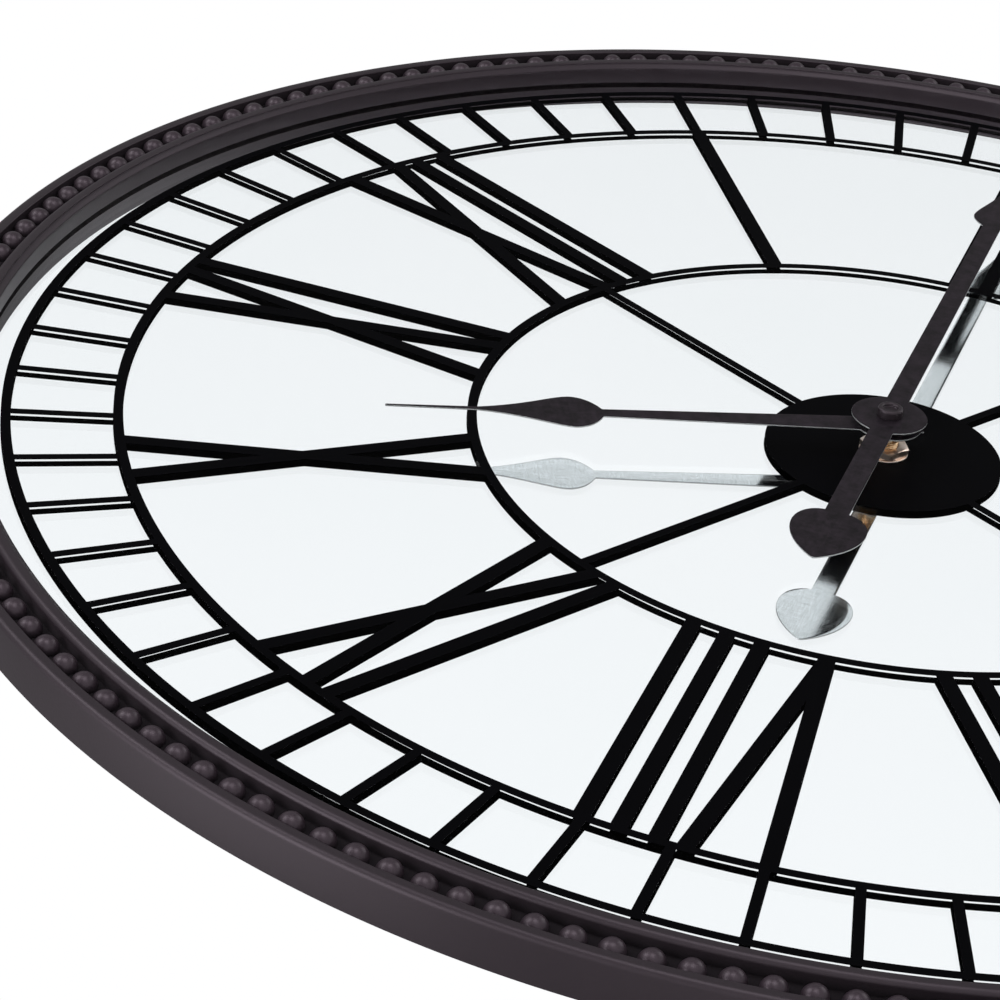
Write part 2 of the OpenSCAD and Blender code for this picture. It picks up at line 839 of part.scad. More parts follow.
intermediate_dir = 150;
rotor_dir = 200;
third_dir = 35;
motion_dir = -30;
third_distance = mesh_distance(leaf_teeth, third_teeth, train_module);
motion_distance = mesh_distance(cannon_teeth, motion_teeth, motion_module);
centre_module = matched_module(third_distance, leaf_teeth, centre_teeth);
hour_module = matched_module(motion_distance, motion_leaf_teeth, hour_teeth);
intermediate_at = polar(mesh_distance(leaf_teeth, seconds_teeth, seconds_module), intermediate_dir);
rotor_at = intermediate_at + polar(mesh_distance(leaf_teeth, motor_teeth, motor_module), rotor_dir);
third_at = polar(third_distance, third_dir);
motion_at = polar(motion_distance, motion_dir);

wheel_t = 0.8;
intermediate_z = cover_front + 0.8;
seconds_z = intermediate_z + wheel_t + 0.6;
third_z = stator_back + 0.2;
centre_z = plate_front + 0.2;
cannon_z = centre_z + wheel_t + 0.5;
motion_z = cannon_z + 0.2;
hour_z = motion_z + 2;
arbor_back = cover_back + 0.4;
arbor_front = plate_front - 0.1;

tooth_rise = 0.9;
tooth_fall = 1.25;
root_half = 0.27;
tip_half = 0.08;

// A toothed disc with a tooth centred on the given direction. The teeth are slim enough to leave play.
module toothed(teeth, tooth_module, direction, t) {
    pitch = 360 / teeth;
    root = tooth_module * (teeth / 2 - tooth_fall);
    tip = tooth_module * (teeth / 2 + tooth_rise);
    linear_extrude(t) polygon([for (i = [0:teeth - 1]) let (a = direction + i * pitch) each [
        polar(root, a - root_half * pitch), polar(tip, a - tip_half * pitch),
        polar(tip, a + tip_half * pitch), polar(root, a + root_half * pitch)]]);
}

// Direction that puts a gap of a wheel on the line of centres, seen from the other wheel
function gap_direction(line, teeth) = line + 180 + 180 / teeth;

module thin_arbor(from, to) {
    raised(from) cylinder(r = arbor_r, h = to - from);
}

module rotor_magnet() {
    color(magnet_c) hung() translate([rotor_at.x, rotor_at.y, stator_back - 0.1])
        ring(arbor_r, magnet_r, magnet_t);
}

module rotor_pinion() {
    color(gear_c) hung() translate(rotor_at) {
        thin_arbor(arbor_back, arbor_front);
        raised(intermediate_z - 0.3) toothed(leaf_teeth, motor_module, rotor_dir + 180, wheel_t + 0.6);
    }
}

module intermediate_wheel() {
    color(gear_c) hung() translate(intermediate_at) {
        thin_arbor(arbor_back, arbor_front);
        raised(intermediate_z)
            toothed(motor_teeth, motor_module, gap_direction(rotor_dir + 180, motor_teeth), wheel_t);
        raised(intermediate_z + wheel_t)
            toothed(leaf_teeth, seconds_module, intermediate_dir + 180, wheel_t + 0.8);
    }
}

module seconds_wheel() {
    color(gear_c) hung() {
        thin_arbor(arbor_back, arbor_front);
        raised(seconds_z) toothed(seconds_teeth, seconds_module,
            gap_direction(intermediate_dir + 180, seconds_teeth), wheel_t);
        raised(seconds_z + wheel_t)
            toothed(leaf_teeth, train_module, third_dir, plate_back - 0.1 - seconds_z - wheel_t);
    }
}

module third_wheel() {
    color(gear_c) hung() translate(third_at) {
        thin_arbor(arbor_back, case_inside + 0.6);
        raised(third_z) toothed(third_teeth, train_module, gap_direction(third_dir, third_teeth), wheel_t);
        raised(centre_z - 0.1) toothed(leaf_teeth, centre_module, third_dir + 180, wheel_t + 0.3);
    }
}

module centre_wheel() {
    color(gear_c) hung() raised(centre_z) difference() {
        toothed(centre_teeth, centre_module, gap_direction(third_dir + 180, centre_teeth), wheel_t);
        raised(-past) cylinder(r = minute_shaft_d / 2 + running_gap, h = wheel_t + 2 * past);
    }
}

module clutch_spring() {
    color(steel_c) hung() raised(centre_z + wheel_t + 0.05)
        ring(minute_shaft_d / 2, 3.4, cannon_z - centre_z - wheel_t - 0.05);
}

module minute_arbor() {
    color(steel_c) hung() {
        raised(centre_z - 0.1) cylinder(d = minute_shaft_d, h = shaft_shoulder - centre_z + 0.1);
        raised(shaft_shoulder) cylinder(d = stub_d,
            h = minute_hand_z + hand_t + hand_nut_h - hand_nut_recess_h - 0.4 - shaft_shoulder);
        raised(cannon_z) toothed(cannon_teeth, motion_module, motion_dir, 1.4);
    }
}

module motion_wheel() {
    color(gear_c) hung() translate(motion_at) {
        raised(case_back + 0.1) cylinder(r = setting_r, h = case_inside + 0.8 - case_back - 0.1);
        raised(motion_z)
            toothed(motion_teeth, motion_module, gap_direction(motion_dir, motion_teeth), wheel_t + 0.2);
        raised(hour_z - 0.2) toothed(motion_leaf_teeth, hour_module, motion_dir + 180, 1.4);
    }
}

module setting_knob() {
    knob_t = cover_back - case_back - 0.2;
    color(case_c) hung() translate([motion_at.x, motion_at.y, case_back + 0.1]) difference() {
        cylinder(d = knob_d, h = knob_t);
        raised(-past) cylinder(r = setting_r, h = knob_t + 2 * past);
        for (a = [0:15:345]) rotate([0, 0, a]) translate([knob_d / 2 + 0.25, 0, -past])
            cylinder(r = 0.6, h = knob_t + 2 * past, $fn = 16);
    }
}

module hour_wheel() {
    bore_r = minute_shaft_d / 2 + running_gap;
    color(gear_c) hung() difference() {
        union() {
            raised(hour_z)
                toothed(hour_teeth, hour_module, gap_direction(motion_dir + 180, hour_teeth), wheel_t + 0.2);
            raised(hour_z) cylinder(d = hour_pipe_d, h = hour_hand_z + hand_t + 0.2 - hour_z);
        }
        raised(hour_z - past) cylinder(r = bore_r, h = hour_hand_z + hand_t - hour_z + 3 * past);
    }
}

// ---- Battery and its contacts ----
cell_r = cell_d / 2;
cell_y = bay_high - 0.45 - cell_r;
cell_z = bay_front - 0.25 - cell_r;
cell_nub_len = 1;
cell_nub_r = 2.75;
contact_t = 0.3;
contact_half_w = 4;
contact_reach = in_half - cell_len / 2 - 0.1;

module battery() {
    color(steel_c) hung() translate([-cell_len / 2, cell_y, cell_z]) rotate([0, 90, 0]) {
        cylinder(r = cell_r, h = cell_len - cell_nub_len);
        cylinder(r = cell_nub_r, h = cell_len);
    }
}

// A strip bowed from the end wall out to the cell: X is the distance from the wall
module contact() {
    half = 6;
    bulge = contact_reach * 4 / 3;
    outer = bezier([0, -half], [bulge, -half / 3], [bulge, half / 3], [0, half], 12);
    inner = [for (i = [12:-1:0]) outer[i] - [contact_t, 0]];
    translate([0, contact_half_w, 0]) rotate([90, 0, 0]) linear_extrude(2 * contact_half_w) intersection() {
        polygon(concat(outer, inner));
        translate([0, -half]) square([contact_reach + 1, 2 * half]);
    }
}

module contact_plus() {
    color(steel_c) hung() translate([in_half, cell_y, cell_z]) mirror([1, 0, 0]) contact();
}

module contact_minus() {
    color(steel_c) hung() translate([-in_half, cell_y, cell_z]) contact();
}

frame();
beading();
mirror_glass();
mirror_silvering();
dial_print();
back_board();
board_clips();
clip_screws();
hanger_plate();
hanger_screws();
wall_bumpers();
hour_hand();
hour_collet();
minute_hand();
minute_collet();
hand_nut();
fixing_nut();
brass_washer();
rubber_washer();
threaded_bushing();
movement_front();
movement_back();
middle_plate();
plate_screws();
circuit_board();
chip_cover();
quartz_crystal();
stator();
coil_core();
coil_bobbin();
coil_winding();
rotor_magnet();
rotor_pinion();
intermediate_wheel();
seconds_wheel();
third_wheel();
centre_wheel();
clutch_spring();
minute_arbor();
motion_wheel();
setting_knob();
hour_wheel();
battery();
contact_plus();
contact_minus();
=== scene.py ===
# %% [markdown]
# # A round mirror wall clock
# The real object is a disc of mirror glass in a cast ring with a row of beads. Black numerals are
# printed on the front of the glass, and two stamped metal hands turn in front of it. This lesson
# dresses the clock's exact model with smooth surfaces and procedural finishes. The exact model
# stays the frame: it says where every piece is, and nothing here moves it.

# %% Load the exact model and measure it
import json
import math

import bmesh
import bpy
import numpy as np
from mathutils import Matrix, Vector


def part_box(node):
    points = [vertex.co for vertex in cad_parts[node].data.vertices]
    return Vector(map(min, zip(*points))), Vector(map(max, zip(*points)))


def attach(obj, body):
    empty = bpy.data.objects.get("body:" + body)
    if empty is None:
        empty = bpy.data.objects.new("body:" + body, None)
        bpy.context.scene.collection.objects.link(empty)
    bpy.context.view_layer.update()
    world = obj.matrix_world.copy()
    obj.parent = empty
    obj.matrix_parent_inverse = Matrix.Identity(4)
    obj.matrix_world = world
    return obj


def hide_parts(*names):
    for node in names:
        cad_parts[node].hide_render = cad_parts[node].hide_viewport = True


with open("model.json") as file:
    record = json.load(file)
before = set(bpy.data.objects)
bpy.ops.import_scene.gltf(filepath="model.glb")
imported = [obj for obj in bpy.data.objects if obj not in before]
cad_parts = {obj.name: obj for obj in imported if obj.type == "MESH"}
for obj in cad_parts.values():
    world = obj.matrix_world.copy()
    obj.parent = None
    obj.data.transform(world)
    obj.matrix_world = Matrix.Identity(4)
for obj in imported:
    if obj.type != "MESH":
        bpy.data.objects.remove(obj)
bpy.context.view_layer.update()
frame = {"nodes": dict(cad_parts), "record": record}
MM = 0.001
TAU = 2 * math.pi

# %% [markdown]
# ## Working in the dial's own terms
# A clock is easiest to draw as its maker does: millimetres, X to the right, Y up to 12, and Z out
# of the dial towards the reader, from 0 at the wall. The part's frame hangs upright with its
# origin on the wall screw, so one function carries points from the dial's terms to the part's.

# %% The dial's centre and the depths, read from the exact model
def front_of(node):
    """How far the front of a piece stands off the wall, in mm: its lowest y in the exact model, sign turned."""
    return -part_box(node)[0].y / MM


def back_of(node):
    """How far the back of a piece stands off the wall, in mm: its highest y, sign turned."""
    return -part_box(node)[1].y / MM


print_low, print_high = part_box("dial_print")
DIAL_X = (print_low.x + print_high.x) / 2
DIAL_Z = (print_low.z + print_high.z) / 2
GLASS_FRONT, GLASS_BACK = front_of("mirror_glass"), back_of("mirror_glass")
FRAME_FOOT = back_of("frame")
HOUR_HAND_Z, MINUTE_HAND_Z = back_of("hour_hand"), back_of("minute_hand")
HAND_T = (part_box("hour_hand")[1].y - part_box("hour_hand")[0].y) / MM
print("dial centre", round(DIAL_X, 4), round(DIAL_Z, 4), "glass front at", round(GLASS_FRONT, 2), "mm")

# %% Two ways to carry points about
def to_part(points):
    """Dial terms to the part's frame: (x, y, z) mm becomes (x, -z, y) m, moved to the dial's centre."""
    p = np.asarray(points, float) * MM
    return np.stack([p[..., 0] + DIAL_X, -p[..., 2], p[..., 1] + DIAL_Z], axis=-1)


def clock_turn(points, degrees):
    """Turns points clockwise about the dial's axis, as a hand turns: x' = x cos + y sin, y' = y cos - x sin."""
    a = math.radians(degrees)
    p = np.asarray(points, float)
    x, y = p[..., 0], p[..., 1]
    return np.stack([x * math.cos(a) + y * math.sin(a), y * math.cos(a) - x * math.sin(a), p[..., 2]], axis=-1)


print("12 o'clock, turned to 3:", clock_turn([0, 100, 0], 90).round(3), "mm")

# %% [markdown]
# ## Surfaces as grids of points
# Nearly every piece here is a grid: rows along one parameter, columns along another. The
# neighbours of a grid point are known without searching, so the faces come from arithmetic on
# whole arrays, and a ring only has to join its last column to its first.

# %% The faces of a grid
def grid_faces(rows, cols, wrap_rows=False, wrap_cols=False):
    """Each quad joins (i, j), (i, j+1), (i+1, j+1) and (i+1, j). A wrapped side joins its end to its start."""
    i = np.arange(rows if wrap_rows else rows - 1)[:, None]
    j = np.arange(cols if wrap_cols else cols - 1)[None, :]
    i2, j2 = (i + 1) % rows, (j + 1) % cols
    return np.stack([i * cols + j, i * cols + j2, i2 * cols + j2, i2 * cols + j], axis=-1).reshape(-1, 4)


def joined(*parts):
    """Several (points, faces) pairs as one, each part's faces counted on from the last."""
    points, faces, start = [], [], 0
    for p, f in parts:
        points.append(p)
        faces.extend(tuple(int(v) + start for v in face) for face in f)
        start += len(p)
    return np.concatenate(points), faces


print("a sheet of 3 by 4 points has", len(grid_faces(3, 4)), "faces")
print("rolled to a tube, it has", len(grid_faces(3, 4, wrap_cols=True)))

# %% From points to a piece of the clock
SAME_PLACE = 0.0001 * MM
CREASE = math.radians(38)


def make_piece(name, points, faces, body, material, node=None, plan=None):
    """A smooth mesh object from dial-term points, riding on a body and standing for a node of the exact model.

    Points that share a place become one, which closes seams and poles, and then the faces turn outwards. The
    plan, where a piece has one, is two numbers at each point, which its material reads as an attribute.
    """
    mesh = bpy.data.meshes.new(name)
    corners = [[int(corner) for corner in face] for face in faces]
    mesh.from_pydata(to_part(points).reshape(-1, 3).tolist(), [], corners)
    if plan is not None:
        flat = np.column_stack([plan * MM, np.zeros(len(plan))])
        mesh.attributes.new("plan", "FLOAT_VECTOR", "POINT").data.foreach_set("vector", flat.ravel())
    shape = bmesh.new()
    shape.from_mesh(mesh)
    bmesh.ops.remove_doubles(shape, verts=shape.verts, dist=SAME_PLACE)
    bmesh.ops.recalc_face_normals(shape, faces=shape.faces)
    shape.to_mesh(mesh)
    shape.free()
    mesh.polygons.foreach_set("use_smooth", [True] * len(mesh.polygons))
    mesh.set_sharp_from_angle(angle=CREASE)
    piece = bpy.data.objects.new(name, mesh)
    bpy.context.scene.collection.objects.link(piece)
    piece.data.materials.append(material)
    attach(piece, body)
    if node:
        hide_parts(node)
    return piece


print("edges sharper than", round(math.degrees(CREASE)), "degrees stay crisp")

# %% Outlines and the lathe
def lathe(profile, turns=96, z0=0.0):
    """A closed outline (radius, height over z0) turned about the dial's axis: x = r sin a, y = r cos a."""
    p = np.asarray(profile, float)
    a = np.arange(turns) * TAU / turns
    r, z = p[:, 0][:, None], p[:, 1][:, None]
    points = np.stack([r * np.sin(a), r * np.cos(a), z + z0 + 0 * a], axis=-1)
    return points.reshape(-1, 3), grid_faces(len(p), turns, wrap_rows=True, wrap_cols=True)


def arc(cx, cy, r, start, end, steps):
    """Points on a circle about (cx, cy), from one angle to another, in degrees."""
    a = np.radians(np.linspace(start, end, steps))
    return np.stack([cx + r * np.cos(a), cy + r * np.sin(a)], axis=-1)


def rounded(corners, radius, steps=5):
    """A closed outline whose corners are cut by a parabola, (1-t)^2 one + 2 t (1-t) corner + t^2 two.

    The cut takes at most 0.45 of the shorter side, so that two cuts never meet.
    """
    c = np.asarray(corners, float)
    to_before, to_after = np.roll(c, 1, axis=0) - c, np.roll(c, -1, axis=0) - c
    side_before = np.linalg.norm(to_before, axis=1, keepdims=True)
    side_after = np.linalg.norm(to_after, axis=1, keepdims=True)
    r = np.broadcast_to(np.asarray(radius, float), (len(c),))[:, None]
    r = np.minimum(r, np.minimum(side_before, side_after) * 0.45)
    one = c + to_before / side_before * r
    two = c + to_after / side_after * r
    t = np.linspace(0, 1, steps)[None, :, None]
    curve = one[:, None] * (1 - t) ** 2 + 2 * c[:, None] * t * (1 - t) + two[:, None] * t ** 2
    return curve.reshape(-1, 2)


print("a square with soft corners has", len(rounded([(0, 0), (1, 0), (1, 1), (0, 1)], 0.1)), "points in its outline")

# %% [markdown]
# ## Finishes as expressions
# A finish varies over a surface: a polish wears at the edges, a lacquer has a fine orange peel.
# Blender writes such rules as node graphs. They could be drawn by hand in the shader editor, but a
# rule reads better as a line of arithmetic. The small class below wraps one socket, so that plus
# and times add the nodes. A bench holds the graph, and a finish is a bench with a shader on it.

# %% A socket that knows arithmetic
class Wire:
    """A node's socket, ready for arithmetic: +, -, * and / on numbers add Math nodes; so do the reflected forms."""

    def __init__(self, bench, socket):
        self.bench = bench
        self.socket = socket

    def _math(self, operation, a, b):
        return self.bench.node("ShaderNodeMath", dict(operation=operation), [a, b])

    def __add__(self, other):
        return self._math("ADD", self, other)

    def __sub__(self, other):
        return self._math("SUBTRACT", self, other)

    def __mul__(self, other):
        return self._math("MULTIPLY", self, other)

    def __truediv__(self, other):
        return self._math("DIVIDE", self, other)

    def __rsub__(self, other):
        return self._math("SUBTRACT", other, self)

    def __rtruediv__(self, other):
        return self._math("DIVIDE", other, self)

    __radd__ = __add__
    __rmul__ = __mul__

    def clamp(self):
        """Never below 0 or above 1."""
        return self._math("MINIMUM", self._math("MAXIMUM", self, 0.0), 1.0)

    def step(self, low, high):
        """0 below low, 1 above high, and a straight ramp between them."""
        return ((self - low) / (high - low)).clamp()


print("a wire answers to", ", ".join(name.strip("_") for name in vars(Wire) if name.startswith("__r")), "as well")

# %% A bench for building node graphs
# A Mix node has a set of sockets for each kind of value. These are the places of its colour sockets.
MIX_AMOUNT, MIX_FIRST, MIX_SECOND, MIX_COLOUR = 0, 6, 7, 2


class Bench:
    """A node tree to work at: node() adds any node, feed() fills a socket, and blend() mixes two colours."""

    def __init__(self, tree):
        self.tree = tree

    def node(self, kind, settings, inputs, output=0):
        """Adds a node: its settings first, then its sockets, by place or by name; gives one of its outputs."""
        made = self.tree.nodes.new(kind)
        for key, value in settings.items():
            setattr(made, key, value)
        pairs = inputs.items() if isinstance(inputs, dict) else enumerate(inputs)
        for key, value in pairs:
            self.feed(made.inputs[key], value)
        return Wire(self, made.outputs[output])

    def feed(self, socket, value):
        """Links a wire or a socket to a socket, or sets a plain value on it."""
        if isinstance(value, Wire):
            value = value.socket
        if isinstance(value, bpy.types.NodeSocket):
            self.tree.links.new(value, socket)
        else:
            socket.default_value = value

    def blend(self, amount, first, second):
        """The first colour where amount is 0, the second where it is 1, and between them in proportion."""
        inputs = {MIX_AMOUNT: amount, MIX_FIRST: first, MIX_SECOND: second}
        return self.node("ShaderNodeMix", dict(data_type="RGBA"), inputs, MIX_COLOUR)

    def ray_is(self, kind):
        """1 where the light path is of the named kind, such as "Is Camera Ray", and 0 elsewhere."""
        return self.node("ShaderNodeLightPath", {}, (), kind)


print("a bench can", ", ".join(name for name in vars(Bench) if not name.startswith("_")))

# %% A material, and the patterns used on the clock
class Finish(Bench):
    """One material: a bench with a shader on it, whose methods name the patterns used on the clock."""

    def __init__(self, name):
        self.material = bpy.data.materials.new(name)
        self.material.use_nodes = True
        super().__init__(self.material.node_tree)
        self.shader = self.tree.nodes["Principled BSDF"]
        self.place = self.tree.nodes.new("ShaderNodeTexCoord").outputs["Object"]

    def set(self, **values):
        """Fills sockets of the shader; Base_Color stands for Base Color, and so on."""
        for key, value in values.items():
            self.feed(self.shader.inputs[key.replace("_", " ")], value)

    def plan(self):
        """The two numbers that make_piece() stored at each point, as a vector."""
        return self.node("ShaderNodeAttribute", dict(attribute_name="plan"), (), "Vector")

    def noise(self, scale, detail=3.0, roughness=0.5, place=None):
        """Soft random patches, 0 to 1; scale counts patches per metre."""
        pattern = {"Vector": place or self.place, "Scale": scale, "Detail": detail, "Roughness": roughness}
        return self.node("ShaderNodeTexNoise", {}, pattern)

    def stretched(self, x, y, z, place=None):
        """Coordinates multiplied along each axis, which draws noise out into grain."""
        return self.node("ShaderNodeMapping", {}, {"Vector": place or self.place, "Scale": (x, y, z)})

    def woven(self, long, fine, detail):
        """Two grains laid across each other in the plan's two directions, half and half."""
        along = self.noise(1.0, detail, 0.6, self.stretched(long, fine, 1.0, self.plan()))
        across = self.noise(1.0, detail, 0.6, self.stretched(fine, long, 1.0, self.plan()))
        return along * 0.5 + across * 0.5

    def bump(self, height, distance, strength):
        """Tilts the surface by a height field; distance is the height of 1, in metres."""
        return self.node("ShaderNodeBump", {}, {"Height": height, "Distance": distance, "Strength": strength})


def rgb(r, g, b):
    """A colour given as it looks on screen, from 0 to 255, changed to the linear values that light adds in."""
    c = np.array([r, g, b]) / 255
    linear = np.where(c <= 0.04045, c / 12.92, ((c + 0.055) / 1.055) ** 2.4)
    return (*linear.tolist(), 1.0)


print("mid grey on screen is", round(rgb(128, 128, 128)[0], 3), "of the light of white")

# %% [markdown]
# ## The charcoal lacquer of the frame
# The frame is sprayed with a satin charcoal lacquer, faintly warm, almost without pattern. What
# gives it away as paint is a very fine orange peel and a slow drift in gloss. Both come from
# noise: a fine one tilts the surface and a broad one moves the roughness. The lacquer also takes
# a mask, the piece's plan, that paints shade into the deep places of the groove: dark and dull.

# %% Charcoal lacquer
CHARCOAL_DARK, CHARCOAL_LIGHT = np.array([27, 22, 26]), np.array([35, 29, 33])
IN_THE_SHADE = rgb(4, 3, 4)


def charcoal_lacquer(name, tone=1.0, gloss=0.36):
    """Colour drifts between two charcoals times tone, and roughness by a tenth above gloss.

    The plan's first number is painted shade, how deep in the groove a point lies. It blends the colour to near black.
    """
    f = Finish(name)
    drift, peel, grain = f.noise(22.0, 3.0), f.noise(900.0, 2.0), f.noise(4200.0, 1.0)
    # Painted shade: the plan's first number blends the colour to near black deep in the groove.
    shade = (f.node("ShaderNodeSeparateXYZ", {}, [f.plan()]) / MM).clamp()
    coat = f.blend(drift * 0.75 + grain * 0.25, rgb(*CHARCOAL_DARK * tone), rgb(*CHARCOAL_LIGHT * tone))
    f.set(Base_Color=f.blend(shade, coat, IN_THE_SHADE), Roughness=drift * 0.1 + gloss + grain * 0.04 + shade * 0.5,
          Normal=f.bump(peel, 0.04 * MM, 0.6), Specular_IOR_Level=0.36, Specular_Tint=(1.0, 0.85, 0.97, 1.0))
    return f.material


frame_lacquer = charcoal_lacquer("frame_lacquer")
# Painted highlight: the beads are cast with the frame but take its lacquer at 1.4 times the colour, so they read
# brighter.
painted_highlight_bead_lacquer = charcoal_lacquer("painted_highlight_bead_lacquer", 1.4, 0.3)
print("made", frame_lacquer.name, "and", painted_highlight_bead_lacquer.name)

# %% [markdown]
# ## The frame
# A ring like this is turned: one outline, carried once round the axis. From the glass outwards it
# climbs a thin inner wall to a sharp arris, steps up to a rounded crest, drops into the groove
# that holds the beads, and comes up again over a rounded rim to the outer wall and the foot.
# Only points of the outline are drawn; the lathe does the rest, with 720 columns so that the long
# curve stays smooth even in a close view.

# %% The frame's outline, in millimetres from the dial's axis and above the glass front
CLOCK_R = round((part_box("frame")[1].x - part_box("frame")[0].x) / 2 / MM)
LIP_R = CLOCK_R - 22.4
REBATE_R = LIP_R + 6.9
FOOT_DROP = GLASS_FRONT - FRAME_FOOT
CREST_H, ARRIS_H, RIM_H, GROOVE_H = 8.7, 6.7, 6.9, 2.5
FRAME_COLUMNS = 720
BEAD_R = 4.4
BEAD_CIRCLE_R = CLOCK_R - 10.0
# The groove leaves the beads more room on its inner side than on its outer side.
GROOVE_IN = BEAD_CIRCLE_R - BEAD_R - 1.4
GROOVE_OUT = BEAD_CIRCLE_R + BEAD_R + 0.2


def frame_outline():
    """Foot, outer wall, rounded rim, bead groove with soft floor corners, rounded crest, step, arris, inner wall.

    Each arc is centred about its own radius in from the two straight sides that it joins.
    """
    crest_r, rim_r, foot_r, edge_r, floor_r, step_r, arris_r = 2.0, 2.2, 0.4, 0.6, 0.5, 0.45, 0.3
    bevel, clear_of_glass = 0.5, 0.02
    wall_r, quirk_r = CLOCK_R - 0.5, LIP_R + 1.9
    parts = [
        [(REBATE_R, -FOOT_DROP + bevel), (REBATE_R + bevel, -FOOT_DROP)],
        arc(CLOCK_R - foot_r, -FOOT_DROP + foot_r, foot_r, -90, 0, 5),
        arc(wall_r - rim_r, RIM_H - rim_r, rim_r, 0, 90, 12),
        arc(GROOVE_OUT + edge_r, RIM_H - edge_r, edge_r, 90, 180, 6),
        arc(GROOVE_OUT - floor_r, GROOVE_H + floor_r, floor_r, 0, -90, 4),
        arc(GROOVE_IN + floor_r, GROOVE_H + floor_r, floor_r, 270, 180, 4),
        arc(GROOVE_IN - crest_r, CREST_H - crest_r, crest_r, 0, 90, 12),
        arc(quirk_r + 0.8, CREST_H - step_r, step_r, 90, 180, 6),
        [(quirk_r + 0.3, ARRIS_H + 1.32), (quirk_r, ARRIS_H + 1.2), (quirk_r - 0.4, ARRIS_H + 1.0)],
        arc(LIP_R + arris_r, ARRIS_H - 0.25, arris_r, 70, 180, 5),
        [(LIP_R, ARRIS_H - 1.2), (LIP_R, clear_of_glass), (REBATE_R, clear_of_glass)],
    ]
    return np.concatenate([np.asarray(p, float) for p in parts])


def painted_groove_shade(points, reach=4.2):
    """Painted shade: 1 at the floor of the bead groove, falling smoothly to 0 at a height of reach above it; elsewhere
    0.
    """
    radius = np.hypot(points[..., 0], points[..., 1])
    depth = np.clip((GROOVE_H + reach - (points[..., 2] - GLASS_FRONT)) / reach, 0, 1)
    over = 0.3
    inside = (radius > GROOVE_IN - over) & (radius < GROOVE_OUT + over)
    shade = np.where(inside, depth * depth * (3 - 2 * depth), 0.0)
    return np.stack([shade, 0 * shade], axis=-1).reshape(-1, 2)


ring_points, ring_faces = lathe(frame_outline(), FRAME_COLUMNS, GLASS_FRONT)
frame_ring = make_piece("frame_ring", ring_points, ring_faces, "clock_case", frame_lacquer, "frame",
                        plan=painted_groove_shade(ring_points))
print("the frame's outline has", len(frame_outline()), "points")

# %% [markdown]
# ## The beading
# The ring of beads is cast with the frame: each bead is a little more than half a ball, standing
# on the groove's flat floor. One small dome is worked out once as a grid, and every bead is that
# grid turned to its place, all in one array.

# %% Beads
BEADS = 180
BALL_CENTRE_H = 0.6
BEAD_REACH = 2.2


def beading(count=BEADS, around=24, up=8):
    """A ball's x = r cos t cos a, y = r cos t sin a and z = r sin t, for t from the floor to the top.

    The columns go round each bead, and the whole dome is then turned to its places about the dial.
    """
    lowest = math.asin(-BALL_CENTRE_H / BEAD_R)
    t = np.linspace(lowest, math.pi / 2, up + 1)[:-1][:, None]
    a = np.arange(around)[None, :] * TAU / around
    x, y, z = BEAD_R * np.cos(t) * np.cos(a), BEAD_R * np.cos(t) * np.sin(a), BEAD_R * np.sin(t) + 0 * a
    dome = np.concatenate([np.stack([x, y, z], -1).reshape(-1, 3), [[0, 0, BEAD_R]]])
    dome += [0, BEAD_CIRCLE_R, GLASS_FRONT + GROOVE_H + BALL_CENTRE_H]
    turn = np.arange(count) * TAU / count
    x = dome[:, 0] * np.cos(turn)[:, None] + dome[:, 1] * np.sin(turn)[:, None]
    y = dome[:, 1] * np.cos(turn)[:, None] - dome[:, 0] * np.sin(turn)[:, None]
    points = np.stack([x, y, np.broadcast_to(dome[:, 2], x.shape)], -1)
    quads = grid_faces(up, around, wrap_cols=True)
    j = np.arange(around)
    top_ring, top = (up - 1) * around, up * around
    cap = np.stack([top_ring + j, top_ring + (j + 1) % around, np.full(around, top)], -1)
    step = np.arange(count)[:, None, None] * len(dome)
    floor = [tuple(j[::-1] + k * len(dome)) for k in range(count)]
    faces = [tuple(f) for f in (quads + step).reshape(-1, 4)] + [tuple(f) for f in (cap + step).reshape(-1, 3)]
    return points, faces + floor


bead_points, bead_faces = beading()
# The beads' feet take painted shade from the groove's mask, and their lighter lacquer is painted highlight.
bead_ring = make_piece("bead_ring", bead_points, bead_faces, "clock_case", painted_highlight_bead_lacquer, "beading",
                       plan=painted_groove_shade(bead_points, BEAD_REACH))
print("beads:", BEADS, "with", len(bead_ring.data.polygons) // BEADS, "faces each")

# %% [markdown]
# ## Mirror glass
# The mirror is a pane of clear float glass with silver on its back. Building both is what makes it
# look real: the print lies on the front, the reflection starts four millimetres deeper, and so
# every printed edge is seen twice. Real float glass has an index of 1.52. The pane here is given
# 1.7, a liberty that bends light a little more and draws each line and its image as close together
# as they look on this clock. The pane stands a hair proud of the silver and of the print's
# underside, so that no two surfaces share a plane.

# %% Clear glass and silvering
GLASS_INDEX = 1.7
NO_TINT = (0.0, 0.0, 0.0, 1.0)


def float_glass():
    """Almost colourless glass without a sheen of its own; a soft noise moves the colour by one part in a hundred."""
    f = Finish("float_glass")
    f.set(Base_Color=f.blend(f.noise(3.0), rgb(250, 253, 253), rgb(252, 254, 254)), Roughness=0.0,
          IOR=GLASS_INDEX, Transmission_Weight=1.0, Specular_Tint=NO_TINT)
    return f.material


def silver_backing():
    """Bright metal with a slightly cold tint and a trace of haze that drifts over a hand's breadth."""
    f = Finish("silver_backing")
    haze = f.noise(7.0, 2.0)
    f.set(Base_Color=f.blend(haze, rgb(251, 253, 254), rgb(253, 254, 255)), Metallic=1.0, Roughness=haze * 0.004)
    return f.material


clear_glass, silvering = float_glass(), silver_backing()
print("the glass has an index of", GLASS_INDEX)

# %% The pane and its silver
PROUD = 0.02
HOLE_R = 5.5
GLASS_R = REBATE_R - 0.5
SILVER_T = 0.2
DISC_COLUMNS = 360


def bored_disc(low, high):
    """A disc with the hole for the movement: four corners of its section, to be turned."""
    return lathe([(HOLE_R, high), (HOLE_R, low), (GLASS_R, low), (GLASS_R, high)], DISC_COLUMNS)


